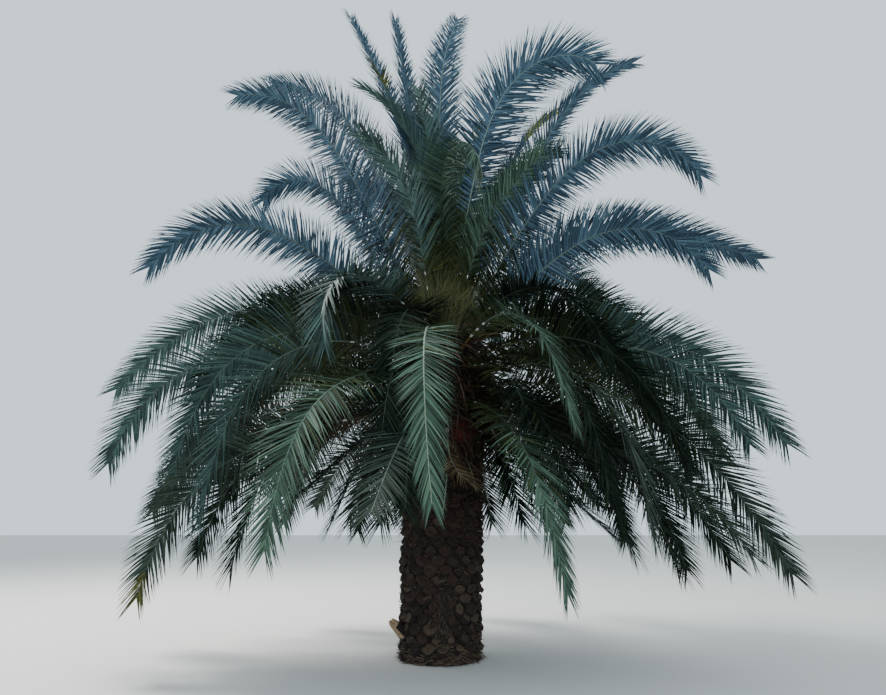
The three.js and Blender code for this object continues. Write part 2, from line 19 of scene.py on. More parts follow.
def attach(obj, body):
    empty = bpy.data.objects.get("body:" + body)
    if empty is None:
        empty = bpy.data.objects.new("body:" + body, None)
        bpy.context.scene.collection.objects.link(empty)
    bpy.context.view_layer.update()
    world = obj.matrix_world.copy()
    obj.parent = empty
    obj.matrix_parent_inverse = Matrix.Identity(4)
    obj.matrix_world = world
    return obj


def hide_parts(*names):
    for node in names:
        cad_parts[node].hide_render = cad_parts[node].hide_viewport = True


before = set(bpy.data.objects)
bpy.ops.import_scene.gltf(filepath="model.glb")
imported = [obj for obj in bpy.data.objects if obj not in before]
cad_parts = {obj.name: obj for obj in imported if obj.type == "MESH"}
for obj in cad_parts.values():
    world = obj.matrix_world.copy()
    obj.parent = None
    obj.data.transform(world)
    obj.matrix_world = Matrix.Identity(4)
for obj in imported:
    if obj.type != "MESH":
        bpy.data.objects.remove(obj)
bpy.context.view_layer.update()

# %% [markdown]
# The trunk's profile and the table of fronds are the driving sizes of the whole tree, so
# they come first and are the same as the solids'. The trunk is a list of heights, each with
# its radius and how far the trunk leans to +X there.

# %% The trunk's profile
TRUNK_PROFILE = [
    (0.000, 0.478, 0.000),
    (0.120, 0.455, 0.000),
    (0.400, 0.460, 0.005),
    (1.600, 0.462, 0.030),
    (2.500, 0.455, 0.035),
    (3.000, 0.470, 0.035),
    (3.400, 0.415, 0.035),
    (3.800, 0.350, 0.035),
    (4.150, 0.240, 0.035),
    (4.400, 0.110, 0.035),
    (4.620, 0.045, 0.035),
]
TRUNK_TOP = 4.620
BASES_PER_ROW = 17
ROW_PITCH = 0.108
BASE_ROWS = round(TRUNK_TOP / ROW_PITCH)

profile_heights, profile_radii, profile_leans = np.array(TRUNK_PROFILE).T


def trunk_radius(height):
    return np.interp(height, profile_heights, profile_radii)


def trunk_lean(height):
    return np.interp(height, profile_heights, profile_leans)


print("trunk", TRUNK_TOP, "m to its tip,", BASE_ROWS, "rows of leaf bases")

# %% [markdown]
# A frond is one row of a table: its azimuth, the height where it leaves the trunk, its rise,
# its drop, the share of its length where it bends, its length, and what else marks it. The
# azimuth starts at the picture's right and goes round by the far side. Roll turns the blade
# about the rib, sway turns its way by the tip, and furl closes the leaflets there. Vee is how
# far the leaflets rise from the blade, sweep is how far they stand off the rib at its foot,
# and bare is the share of the rib that has none. A table keeps all this where it can be seen
# and changed at once, one frond at a time.

# %% The table of fronds
V_ANGLE = 14
BARE_SHARE = 0.10
SWEEP_AT_FOOT = 66
WHORLS = {
    "spear_frond": {"petiole": 0.046, "leaflet": 0.560, "sweep": 44, "fronds": [
        (154, 4.570, 81, 1, 0.50, 4.71, {"roll": 15, "furl": 0.3}),
        (170, 4.440, 85, 21, 0.48, 4.95, {"roll": 30, "furl": 0.2}),
        (-160, 4.290, 87, 88, 0.86, 3.55, {"furl": 0.5}),
        (58, 4.500, 95, 40, 0.79, 4.86, {"roll": -30}),
        (-23, 4.370, 80, 174, 0.88, 4.64, {"roll": 60, "leaflet": 0.800, "sweep": 58}),
        (14, 4.270, 71, 50, 0.92, 3.75, {"roll": 30, "furl": 0.8}),
        (-100, 4.290, 91, 200, 0.72, 3.32, {"sway": 70, "roll": 30, "vee": -35, "sweep": 66}),
        (100, 4.400, 80, 60, 0.85, 4.30, {}),
        (-136, 4.190, 80, 75, 0.75, 2.70, {}),
        (-12, 4.410, 86, 20, 0.60, 2.75, {"roll": 20}),
        (-138, 4.430, 89, 14, 0.60, 3.10, {"roll": -10}),
        (34, 4.400, 84, 30, 0.70, 3.30, {"roll": 20}),
        (132, 4.420, 85, 30, 0.70, 3.60, {"roll": -20}),
        (-22, 4.240, 74, 35, 0.60, 2.50, {"roll": 40}),
        (177, 4.265, 77, 40, 0.60, 2.60, {"roll": -30}),
        (-8, 4.180, 76, 45, 0.65, 2.90, {"roll": 35}),
        (148, 4.280, 80, 40, 0.70, 3.20, {"roll": -30}),
    ]},
    "upper_frond": {"petiole": 0.058, "leaflet": 0.610, "fronds": [
        (167, 4.310, 70, 75, 0.85, 4.90, {"sway": 3, "roll": -40}),
        (188, 4.180, 63, 114, 0.93, 4.46, {"sway": -4, "roll": -40}),
        (174, 3.950, 62, 190, 0.93, 3.72, {"roll": -40}),
        (5, 4.170, 66, 64, 0.91, 5.04, {"sway": -2, "roll": 40, "furl": 0.6}),
        (-10, 4.050, 60, 152, 0.82, 4.68, {"roll": 40}),
        (60, 4.060, 68, 95, 0.85, 4.30, {"roll": 15}),
        (118, 4.060, 68, 95, 0.85, 4.30, {"roll": -15}),
    ]},
    "middle_frond": {"petiole": 0.066, "leaflet": 0.590, "fronds": [
        (190, 3.890, 41, 116, 0.77, 4.15, {"roll": -40}),
        (-133, 3.980, 34, 154, 0.66, 2.50, {}),
        (4, 3.960, 65, 90, 0.46, 4.89, {"roll": 40}),
        (-13, 3.850, 45, 120, 0.75, 3.79, {"roll": 40}),
        (42, 3.880, 45, 105, 0.75, 4.30, {"roll": 35}),
        (75, 3.900, 44, 110, 0.75, 4.40, {"roll": 25}),
        (106, 3.880, 45, 110, 0.75, 4.40, {"roll": -25}),
        (147, 3.880, 33, 95, 0.70, 4.20, {"roll": -35}),
        (-112, 3.860, 48, 130, 0.45, 1.60, {}),
        (-152, 3.940, 55, 120, 0.50, 2.10, {}),
        (-36, 3.900, 48, 120, 0.50, 2.50, {}),
        (-26, 3.750, 32, 110, 0.50, 2.90, {"roll": 25}),
        (24, 3.800, 40, 105, 0.65, 3.90, {"roll": 45}),
        (126, 3.800, 42, 105, 0.65, 3.90, {"roll": -40}),
        (90, 3.780, 36, 100, 0.65, 3.90, {}),
        (172, 3.800, 40, 110, 0.60, 3.30, {"roll": -40}),
    ]},
    "lower_frond": {"petiole": 0.074, "leaflet": 0.610, "fronds": [
        (174, 3.720, 29, 82, 0.59, 4.64, {"roll": -50}),
        (184, 3.540, 8, 92, 0.72, 4.42, {"roll": -50}),
        (-165, 3.640, 26, 112, 0.52, 3.91, {"roll": -45}),
        (-149, 3.560, 25, 115, 0.45, 3.90, {"roll": -35}),
        (-97, 3.650, 30, 106, 0.35, 3.62, {"sway": 26, "furl": 0.4, "leaflet": 0.470}),
        (-63, 3.600, 36, 113, 0.45, 3.09, {"roll": 20, "furl": 0.5, "leaflet": 0.430}),
        (-47, 3.470, 12, 100, 0.50, 3.00, {}),
        (-6, 3.740, 15, 81, 0.60, 4.47, {"roll": 50}),
        (-4, 3.600, 11, 87, 0.68, 4.02, {"roll": 50}),
        (3, 3.450, 17, 98, 0.65, 3.94, {"roll": 50}),
        (18, 3.600, 26, 95, 0.50, 4.20, {"roll": 45}),
        (40, 3.620, 24, 100, 0.50, 4.20, {"roll": 40}),
        (72, 3.580, 24, 100, 0.50, 4.20, {"roll": 25}),
        (104, 3.620, 24, 100, 0.50, 4.20, {"roll": -25}),
        (136, 3.580, 24, 100, 0.50, 4.20, {"roll": -40}),
        (156, 3.640, 26, 100, 0.50, 4.20, {"roll": -45}),
        (-112, 3.500, 18, 105, 0.45, 2.00, {}),
        (-121, 3.690, 34, 118, 0.42, 1.60, {}),
        (-57, 3.440, 8, 100, 0.45, 2.30, {"leaflet": 0.480}),
        (-30, 3.580, 22, 100, 0.50, 3.40, {"roll": 35}),
        (-178, 3.760, 42, 110, 0.50, 3.50, {"roll": -45}),
    ]},
    "skirt_frond": {"petiole": 0.074, "leaflet": 0.590, "fronds": [
        (-126, 3.300, 3, 91, 0.53, 3.48, {"roll": 20}),
        (-139, 3.320, 6, 95, 0.50, 2.90, {"roll": -30}),
        (172, 3.350, 16, 90, 0.55, 4.15, {"roll": -50}),
        (-64, 3.040, -8, 68, 0.45, 3.13, {"furl": 0.5, "leaflet": 0.480}),
        (-50, 3.200, 0, 85, 0.50, 2.40, {}),
        (-43, 3.290, 19, 107, 0.47, 3.56, {"sway": -5, "roll": 10, "furl": 0.5}),
        (-20, 3.290, 2, 70, 0.50, 4.41, {"sway": 8, "roll": 50}),
        (52, 3.280, 8, 80, 0.50, 3.60, {"roll": 30}),
        (30, 3.300, 6, 85, 0.50, 3.70, {"roll": 45}),
        (96, 3.300, 8, 80, 0.50, 3.60, {"roll": 20}),
        (140, 3.280, 8, 80, 0.50, 3.60, {"roll": -40}),
        (118, 3.240, 4, 80, 0.50, 3.40, {"roll": -25}),
        (-27, 3.110, -6, 70, 0.50, 3.30, {"roll": 30}),
        (-37, 3.060, -12, 60, 0.50, 2.80, {}),
        (-102, 3.140, -4, 85, 0.50, 2.20, {}),
        (-152, 3.120, -4, 80, 0.50, 3.20, {"roll": -40}),
        (4, 3.160, -2, 75, 0.50, 3.70, {"roll": 45}),
    ]},
    "bottom_frond": {"petiole": 0.070, "leaflet": 0.560, "fronds": [
        (-104, 2.960, -14, 32, 0.46, 2.52, {}),
        (-84, 2.760, -84, -50, 0.50, 0.95, {"sway": 75, "bare": 0.5, "leaflet": 0.330}),
        (-132, 2.940, -26, 14, 0.50, 2.05, {"roll": -25}),
        (-160, 2.960, -12, 75, 0.69, 3.95, {"roll": -60}),
        (-171, 2.980, -6, 75, 0.60, 3.30, {"roll": -50}),
        (170, 2.990, -6, 80, 0.85, 3.95, {"roll": -45}),
        (-24, 2.950, -18, 50, 0.79, 3.55, {"roll": 40}),
        (-10, 2.980, -8, 60, 0.60, 3.60, {"roll": 50}),
        (-49, 2.900, -34, 4, 0.60, 2.48, {"roll": 25}),
        (38, 2.960, -2, 45, 0.50, 2.90, {"roll": 35}),
        (85, 2.940, -2, 45, 0.50, 2.90, {}),
        (132, 2.960, -2, 45, 0.50, 2.90, {"roll": -35}),
        (-50, 2.800, -30, 40, 0.40, 1.60, {}),
        (-124, 2.800, -35, 40, 0.40, 1.50, {}),
        (-32, 2.790, -30, 40, 0.40, 1.60, {}),
        (-4, 2.800, -30, 40, 0.40, 1.60, {}),
        (60, 2.800, -30, 40, 0.40, 1.60, {}),
        (110, 2.800, -30, 40, 0.40, 1.60, {}),
        (154, 2.800, -30, 40, 0.40, 1.60, {}),
        (-163, 2.790, -30, 40, 0.40, 1.60, {}),
    ]},
}


def fronds_of(whorl):
    """The fronds of a whorl as dictionaries, with a name to every value."""
    shared = WHORLS[whorl]
    fronds = []
    for number, (azimuth, seat, rise, drop, bend, length, marks) in enumerate(shared["fronds"], 1):
        frond = {
            "name": f"{whorl}_{number}", "azimuth": azimuth, "seat": seat, "rise": rise,
            "drop": drop, "bend": bend, "length": length, "petiole": shared["petiole"],
            "leaflet": shared["leaflet"], "roll": 0, "furl": 0, "sway": 0, "vee": V_ANGLE,
            "bare": BARE_SHARE, "sweep": shared.get("sweep", SWEEP_AT_FOOT),
        }
        fronds.append({**frond, **marks})
    return fronds


all_fronds = {whorl: fronds_of(whorl) for whorl in WHORLS}
print("fronds", {whorl: len(fronds) for whorl, fronds in all_fronds.items()})

# %% [markdown]
# The camera stands where the photographer stood: 8.56 m in front of the trunk with the eye
# 1.6 m above the ground, tipped up a little so that the whole crown comes in. Making the
# camera first means that every later step can be judged in the same picture.

# %% The camera
EYE = (0.035, -8.56, 1.60)
TILT_UP = 14.4
PICTURE_WIDTH = 886
FOCAL_PIXELS = 666

camera_data = bpy.data.cameras.new("camera")
camera_data.sensor_fit = "HORIZONTAL"
camera_data.lens = camera_data.sensor_width * FOCAL_PIXELS / PICTURE_WIDTH
camera = bpy.data.objects.new("camera", camera_data)
camera.location = EYE
camera.rotation_euler = (math.radians(90 + TILT_UP), 0, 0)
bpy.context.scene.collection.objects.link(camera)
bpy.context.scene.camera = camera
print("lens", round(camera_data.lens, 2), "mm")

# %% [markdown]
# A frond's rib is a path that a rule draws. It leaves the trunk at its rise, loses its drop
# around the bend in a soft S, and may sway to one side and roll about itself. At each step
# the rule gives a point and three directions: along the rib, out of its right side and out
# of its top. All that grows on the frond is set out from these, so the rule is written once.

# %% The rule of a rib
CURVE_STEPS = 120
BEND_SPREAD = 0.24
BEND_SPREAD_LOSS = 0.14
ROLL_SHARE = 0.35


def smooth(x):
    """0 up to 0, 1 from 1 on, and a soft S between them."""
    x = np.clip(x, 0, 1)
    return x * x * (3 - 2 * x)


def trunk_point(height, azimuth, off=0.0):
    """A point off the trunk's surface; the azimuth is in radians."""
    r = trunk_radius(height) + off
    return np.array([trunk_lean(height) + r * math.cos(azimuth), r * math.sin(azimuth), height])


def rib_frames(frond):
    """Arrays of share, point, along, side and top, one row for each step from foot to tip."""
    share = np.linspace(0, 1, CURVE_STEPS + 1)
    azimuth = math.radians(frond["azimuth"])
    way = azimuth + math.radians(frond["sway"]) * share**2
    zero = np.zeros_like(share)
    heading = np.stack([np.cos(way), np.sin(way), zero], 1)
    right = np.stack([np.sin(way), -np.cos(way), zero], 1)
    spread = BEND_SPREAD - BEND_SPREAD_LOSS * frond["bend"]
    lost = frond["drop"] / (1 + np.exp((frond["bend"] - share) / spread))
    elevation = np.radians(frond["rise"] - lost)[:, None]
    along = heading * np.cos(elevation) + np.array([0, 0, 1]) * np.sin(elevation)
    flat_top = np.cross(right, along)
    roll = (math.radians(frond["roll"]) * smooth(share / ROLL_SHARE))[:, None]
    side = right * np.cos(roll) + flat_top * np.sin(roll)
    top = flat_top * np.cos(roll) - right * np.sin(roll)
    steps = along * frond["length"] / CURVE_STEPS
    steps[0] = 0
    point = trunk_point(frond["seat"], azimuth) + np.cumsum(steps, 0)
    return {"share": share, "point": point, "along": along, "side": side, "top": top}


for whorl, fronds in all_fronds.items():
    for frond in fronds:
        frond["frames"] = rib_frames(frond)
tips = np.array([f["frames"]["point"][-1] for fronds in all_fronds.values() for f in fronds])
print("rib tips from", tips.min(0).round(2), "to", tips.max(0).round(2))

# %% [markdown]
# Geometry Nodes take their guides as meshes. A guide here is a chain of edges for each
# frond, whose points carry the rule's directions and sizes as named attributes. Mesh to
# Curve turns the chains into curves and keeps the attributes, so that whatever a tree sets
# along a curve finds its direction and its size at hand.

# %% Helpers for meshes and guides
def add_object(name, mesh):
    piece = bpy.data.objects.new(name, mesh)
    bpy.context.scene.collection.objects.link(piece)
    return piece


def mesh_of(name, points, faces=(), edges=()):
    mesh = bpy.data.meshes.new(name)
    mesh.from_pydata([tuple(p) for p in points], list(edges), list(faces))
    mesh.update()
    return mesh


def write_attribute(mesh, name, values, domain="POINT"):
    """Stores one number or one vector for each point or face, as an attribute."""
    values = np.asarray(values, dtype=np.float32)
    kind, key = ("FLOAT_VECTOR", "vector") if values.ndim == 2 else ("FLOAT", "value")
    attribute = mesh.attributes.new(name, kind, domain)
    attribute.data.foreach_set(key, values.ravel())


def guide_mesh(name, strands):
    """Chains of edges from strands, each a dictionary of arrays with a point to each row."""
    points = np.concatenate([strand["point"] for strand in strands])
    edges = []
    start = 0
    for strand in strands:
        count = len(strand["point"])
        edges += [(i, i + 1) for i in range(start, start + count - 1)]
        start += count
    mesh = mesh_of(name, points, edges=edges)
    for key in strands[0]:
        if key != "point":
            write_attribute(mesh, key, np.concatenate([strand[key] for strand in strands]))
    return mesh


print("helpers for guides are ready")

# %% [markdown]
# A node tree built in a script is easier to read if each node is one line. This helper
# keeps the tree, makes a node from its kind, its settings and its inputs in order, and links
# or fills each input as needed. Only the sockets that the settings leave switched on count,
# as in the editor, where the others are hidden.

# %% A helper for node trees
class NodeTree:
    """A Geometry Nodes tree in the making, with a geometry input and named sizes."""

    SOCKETS = {float: "NodeSocketFloat", int: "NodeSocketInt"}

    def __init__(self, name, sizes):
        self.group = bpy.data.node_groups.new(name, "GeometryNodeTree")
        self.group.is_modifier = True
        face = self.group.interface
        face.new_socket("Geometry", in_out="OUTPUT", socket_type="NodeSocketGeometry")
        face.new_socket("Geometry", in_out="INPUT", socket_type="NodeSocketGeometry")
        for label, value in sizes.items():
            kind = self.SOCKETS.get(type(value), "NodeSocketObject")
            socket = face.new_socket(label, in_out="INPUT", socket_type=kind)
            if kind != "NodeSocketObject":
                socket.default_value = value
        self.inputs = self.group.nodes.new("NodeGroupInput").outputs
        self.result = self.group.nodes.new("NodeGroupOutput").inputs[0]

    def add(self, kind, *values, **settings):
        """Makes a node and returns its first output that is switched on."""
        node = self.group.nodes.new(kind)
        for key, value in settings.items():
            setattr(node, key, value)
        sockets = [socket for socket in node.inputs if socket.enabled]
        for socket, value in zip(sockets, values):
            if isinstance(value, bpy.types.NodeSocket):
                self.group.links.new(value, socket)
            elif value is not None:
                socket.default_value = value
        return [socket for socket in node.outputs if socket.enabled][0]

    def math(self, operation, *values):
        return self.add("ShaderNodeMath", *values, operation=operation)

    def vector(self, operation, *values):
        return self.add("ShaderNodeVectorMath", *values, operation=operation)

    def times(self, vector, factor):
        """A vector times a number."""
        node = self.group.nodes.new("ShaderNodeVectorMath")
        node.operation = "SCALE"
        self.group.links.new(vector, node.inputs["Vector"])
        self.group.links.new(factor, node.inputs["Scale"])
        return node.outputs["Vector"]

    def sum(self, *vectors):
        total = vectors[0]
        for vector in vectors[1:]:
            total = self.vector("ADD", total, vector)
        return total

    def number(self, name):
        """A named attribute that is a number."""
        return self.add("GeometryNodeInputNamedAttribute", name, data_type="FLOAT")

    def direction(self, name):
        """A named attribute that is a vector."""
        return self.add("GeometryNodeInputNamedAttribute", name, data_type="FLOAT_VECTOR")

    def random(self, low, high, seed_step=0):
        """An even random number for each point, from the tree's Seed and a step of its own."""
        seed = self.math("ADD", self.inputs["Seed"], float(seed_step))
        return self.add("FunctionNodeRandomValue", low, high, None, seed, data_type="FLOAT")

    def store(self, geometry, name, value, domain="POINT"):
        return self.add("GeometryNodeStoreNamedAttribute", geometry, None, name, value,
                        data_type="FLOAT", domain=domain)

    def whole(self, count, seed_step):
        """An even random whole number from 0 to one less than count, for each point."""
        return self.math("FLOOR", self.random(0.0, count - 0.001, seed_step))

    def shape(self):
        """The geometry of the object that is given as the input named Shape."""
        node = self.group.nodes.new("GeometryNodeObjectInfo")
        self.group.links.new(self.inputs["Shape"], node.inputs["Object"])
        return node.outputs["Geometry"]

    def set_on(self, points, way, top, scale):
        """The shape on each point, with its X along a way, its Z towards a top, and scaled."""
        rotation = self.add("FunctionNodeAxesToRotation", way, top,
                            primary_axis="X", secondary_axis="Z")
        return self.add("GeometryNodeInstanceOnPoints", points, None, self.shape(), None, None,
                        rotation, scale)

    def join(self, *parts):
        node = self.group.nodes.new("GeometryNodeJoinGeometry")
        for part in parts:
            self.group.links.new(part, node.inputs[0])
        return node.outputs[0]

    def finish(self, geometry, materials):
        """Realizes what is left and deals the materials out by the attribute named shade."""
        made = self.add("GeometryNodeRealizeInstances", geometry)
        for number, material in enumerate(materials):
            chosen = None
            if len(materials) > 1:
                near = self.math("SUBTRACT", self.number("shade"), float(number))
                chosen = self.math("LESS_THAN", self.math("ABSOLUTE", near), 0.5)
            made = self.add("GeometryNodeSetMaterial", made, chosen, material)
        self.group.links.new(made, self.result)


def grow(name, guide, tree, **given):
    """Runs a tree on a guide and returns what it makes as a plain mesh object."""
    source = add_object(name + "_guide", guide)
    modifier = source.modifiers.new("grow", "NODES")
    modifier.node_group = tree.group
    for item in tree.group.interface.items_tree:
        label = item.name.lower().replace(" ", "_")
        if item.in_out == "INPUT" and label in given:
            modifier[item.identifier] = given[label]
    graph = bpy.context.evaluated_depsgraph_get()
    mesh = bpy.data.meshes.new_from_object(source.evaluated_get(graph))
    source.modifiers.remove(modifier)
    bpy.data.objects.remove(source)
    mesh.name = name
    return add_object(name, mesh)


def triangle_count(piece):
    return sum(len(face.vertices) - 2 for face in piece.data.polygons)


print("helpers for node trees are ready")

# %% [markdown]
# Leaves keep their colour as plain base colours, three near shades to each tone, which the
# node tree deals out leaflet by leaflet. A crown painted with one noise would show the
# noise's cells, while neighbours with shades of their own look like leaves. Each shade also
# has the fine lengthwise veins of a palm leaflet as a bump, which reads the leaflet's own
# UV map, so that the veins follow every leaflet however it lies.

# %% Leaf tones
TONES = {
    # Slate is the leaves' own blue-grey bloom with the blue of the sky's reflection painted in
    "slate": ((82, 108, 124), (62, 86, 101), (45, 64, 78)),
    "sea": ((78, 105, 100), (60, 83, 79), (43, 62, 58)),
    "green": ((80, 106, 88), (60, 83, 69), (42, 60, 49)),
    "dusk": ((60, 76, 65), (45, 58, 49), (31, 41, 35)),
    # Moss is partly the olive of the fronds' feet and partly painted shade of the crown's inside
    "moss": ((64, 76, 46), (50, 60, 36), (36, 44, 27)),
    # The darkest green is painted shade: it darkens the inner fronds and some spines inside the crown
    "deep": ((40, 54, 42), (29, 40, 32), (20, 28, 22)),
    "olive": ((98, 98, 48), (76, 80, 40), (56, 61, 33)),
    "yellow": ((186, 178, 78), (166, 158, 62), (140, 140, 60)),
    "straw": ((150, 134, 104), (122, 106, 80), (98, 84, 62)),
    "umber": ((74, 60, 46), (58, 47, 36), (44, 36, 28)),
}
TONE_NUMBER = {tone: number for number, tone in enumerate(TONES)}
SHADES_PER_TONE = 3
LEAF_ROUGHNESS = 0.68
LEAF_GLOSS = {"deep": 0.06, "umber": 0.1, "straw": 0.1, "moss": 0.15}
USUAL_GLOSS = 0.2
VEINS_ACROSS = 9
VEIN_HEIGHT = 0.0006


def linear(red, green, blue):
    """A screen colour from 0 to 255 as the linear colour that a shader takes."""
    channels = [value / 255 for value in (red, green, blue)]
    return tuple(c / 12.92 if c <= 0.04045 else ((c + 0.055) / 1.055) ** 2.4 for c in channels)


class Finish:
    """A material in the making, around its Principled shader."""

    def __init__(self, name, colour, roughness):
        self.material = bpy.data.materials.new(name)
        self.material.use_nodes = True
        self.tree = self.material.node_tree
        self.shader = self.tree.nodes["Principled BSDF"]
        self.shader.inputs["Base Color"].default_value = (*linear(*colour), 1)
        self.shader.inputs["Roughness"].default_value = roughness

    def add(self, kind, settings=None, **inputs):
        node = self.tree.nodes.new(kind)
        for key, value in (settings or {}).items():
            setattr(node, key, value)
        for label, value in inputs.items():
            socket = node.inputs[label.replace("_", " ")]
            if isinstance(value, bpy.types.NodeSocket):
                self.tree.links.new(value, socket)
            else:
                socket.default_value = value
        return node

    def stretched(self, x, y, z):
        """Object coordinates, scaled along each axis."""
        place = self.add("ShaderNodeTexCoord")
        mapping = self.add("ShaderNodeMapping", Vector=place.outputs["Object"])
        mapping.inputs["Scale"].default_value = (x, y, z)
        return mapping.outputs["Vector"]

    def noise(self, vector, scale, detail=4.0, roughness=0.6):
        return self.add("ShaderNodeTexNoise", Vector=vector, Scale=scale, Detail=detail,
                        Roughness=roughness).outputs["Fac"]

    def ramp(self, factor, *stops):
        """A colour ramp from stops, each a position and a screen colour."""
        node = self.add("ShaderNodeValToRGB", Fac=factor)
        elements = node.color_ramp.elements
        while len(elements) < len(stops):
            elements.new(0.5)
        for element, (position, colour) in zip(elements, stops):
            element.position = position
            element.color = (*linear(*colour), 1)
        return node.outputs["Color"]

    def paint(self, colour):
        self.tree.links.new(colour, self.shader.inputs["Base Color"])

    def bump(self, height, distance, strength=1.0):
        node = self.add("ShaderNodeBump", Height=height, Distance=distance, Strength=strength)
        self.tree.links.new(node.outputs["Normal"], self.shader.inputs["Normal"])


def leaf_material(name, colour, gloss):
    finish = Finish(name, colour, LEAF_ROUGHNESS)
    finish.shader.inputs["Specular IOR Level"].default_value = gloss
    uv = finish.add("ShaderNodeUVMap", {"uv_map": "leaf"})
    veins = finish.add("ShaderNodeTexWave", {"wave_type": "BANDS", "bands_direction": "Y"},
                       Vector=uv.outputs["UV"], Scale=float(VEINS_ACROSS))
    finish.bump(veins.outputs["Fac"], VEIN_HEIGHT, 0.5)
    return finish.material


leaf_materials = [
    leaf_material(f"leaf_{tone}_{number}", colour, LEAF_GLOSS.get(tone, USUAL_GLOSS))
    for tone, shades in TONES.items()
    for number, colour in enumerate(shades)
]
print("leaf shades", len(leaf_materials))

# %% [markdown]
# A leaflet of this palm is a long narrow blade with a keel, drawn out to a fine point. It is
# modelled once, one metre long and one wide, as a closed three-sided body, and each copy is
# scaled to its own length and width. The attribute u runs from 0 at its root to 1 at its
# tip, for the droop that comes later. Spines and fibres are the same body, only slimmer.

# %% One leaflet, one spine and one fibre
# Along each body: how far out, and its width there as a share
LEAFLET_STATIONS = ((0, 0.7), (0.16, 1.0), (0.6, 0.62))
SPINE_STATIONS = ((0, 1.0),)
FIBRE_STATIONS = ((0, 1.0), (0.35, 0.9), (0.7, 0.6))


def blade_mesh(name, stations):
    """A body along +X with a left edge, a keel and a right edge at each station."""
    points = []
    faces = []
    for u, width in stations:
        points += [(u, width / 2, 0), (u, 0, -width), (u, -width / 2, 0)]
    tip = len(points)
    points.append((1, 0, 0))
    last = len(stations) - 1
    for station in range(last):
        for k in range(3):
            a = station * 3 + k
            b = station * 3 + (k + 1) % 3
            faces.append((a, b, b + 3, a + 3))
    faces += [(last * 3 + k, last * 3 + (k + 1) % 3, tip) for k in range(3)]
    faces.append((2, 1, 0))
    mesh = mesh_of(name, points, faces)
    write_attribute(mesh, "u", [p[0] for p in points])
    uv_layer = mesh.uv_layers.new(name="leaf")
    for loop in mesh.loops:
        x, y, _ = points[loop.vertex_index]
        uv_layer.data[loop.index].uv = (x, y + 0.5)
    return mesh


def template(mesh):
    """An object that only node trees read: it stays out of the scene itself."""
    return bpy.data.objects.new(mesh.name + "_shape", mesh)


leaflet_shape = template(blade_mesh("leaflet", LEAFLET_STATIONS))
spine_shape = template(blade_mesh("spine", SPINE_STATIONS))
fibre_shape = template(blade_mesh("fibre", FIBRE_STATIONS))
for shape in (leaflet_shape, spine_shape, fibre_shape):
    print(shape.name, triangle_count(shape), "triangles")

# %% [markdown]
# The leaflet tree is the heart of the crown. It cuts each rib's curve into even steps, sets
# a leaflet on either side of each step, aims it by the same rule as the solids, with the
# sweep that the guide carries, and adds what no two leaflets share: a few degrees of turn,
# a little length, and a slow drift that gathers neighbours into small bunches with sky
# between them. Once realized, each blade droops by the square of its u.

# %% The tree that sets leaflets along a rib
LEAFLET_SAG = 0.12
TWIST = math.radians(28)
# A leaflet of this length has the width that the tree is given
REFERENCE_REACH = 0.5
# How far the slow drift moves on from leaflet to leaflet, and how far apart its two sides are
DRIFT_STEP = 0.31
DRIFT_OFFSET = 57.0
VEE_SPREAD = 0.28
LEAST_BOW = 0.3
MOST_BOW = 1.7
LEFT_SEEDS = 10
RIGHT_SEEDS = 30


def leaflet_row(tree, curves, sign, seed_step):
    """The leaflets on one side of the curves' points, as instances."""
    index = tree.add("GeometryNodeInputIndex")
    place = tree.math("MULTIPLY_ADD", index, DRIFT_STEP, DRIFT_OFFSET * sign)
    drift = tree.add("ShaderNodeTexNoise", place, 1.0, 1.0, noise_dimensions="1D")
    drift = tree.math("MULTIPLY", tree.math("SUBTRACT", drift, 0.5), tree.inputs["Clump"])
    turn = tree.math("MULTIPLY", tree.random(-1.0, 1.0, seed_step), tree.inputs["Turn"])
    sweep = tree.math("ADD", tree.math("ADD", tree.number("sweep"), turn), drift)
    either = tree.random(-1.0, 1.0, seed_step + 1)
    vee = tree.math("MULTIPLY_ADD", either, VEE_SPREAD, tree.number("vee"))
    out = tree.math("SINE", sweep)
    aside = tree.math("MULTIPLY", tree.math("MULTIPLY", out, tree.math("COSINE", vee)), float(sign))
    up = tree.math("MULTIPLY", out, tree.math("SINE", vee))
    down = tree.add("ShaderNodeCombineXYZ", 0.0, 0.0, tree.math("MULTIPLY", out, -LEAFLET_SAG))
    way = tree.sum(
        tree.times(tree.direction("along"), tree.math("COSINE", sweep)),
        tree.times(tree.direction("side"), aside),
        tree.times(tree.direction("top"), up),
        down,
    )
    twist = tree.random(-TWIST, TWIST, seed_step + 2)
    face = tree.sum(
        tree.times(tree.direction("top"), tree.math("COSINE", twist)),
        tree.times(tree.direction("along"), tree.math("SINE", twist)),
    )
    uneven = tree.math("MULTIPLY", tree.random(-1.0, 1.0, seed_step + 3), tree.inputs["Unevenness"])
    length = tree.math("MULTIPLY", tree.number("reach"), tree.math("ADD", uneven, 1.0))
    slender = tree.math("SQRT", tree.math("DIVIDE", length, REFERENCE_REACH))
    width = tree.math("MULTIPLY", tree.inputs["Width"], slender)
    thickness = tree.math("MULTIPLY", width, tree.inputs["Fold"])
    scale = tree.add("ShaderNodeCombineXYZ", length, width, thickness)
    bow = tree.math("MULTIPLY", tree.random(LEAST_BOW, MOST_BOW, seed_step + 4), tree.inputs["Droop"])
    other = tree.math("LESS_THAN", tree.random(0.0, 1.0, seed_step + 5), tree.number("blend"))
    gap = tree.math("SUBTRACT", tree.number("other_tone"), tree.number("tone"))
    tone = tree.math("MULTIPLY_ADD", other, gap, tree.number("tone"))
    spread = tree.whole(SHADES_PER_TONE, seed_step + 6)
    shade = tree.math("MULTIPLY_ADD", tone, float(SHADES_PER_TONE), spread)
    marked = tree.store(curves, "bow", tree.math("MULTIPLY", bow, length))
    marked = tree.store(marked, "shade", shade)
    return tree.set_on(marked, way, face, scale)


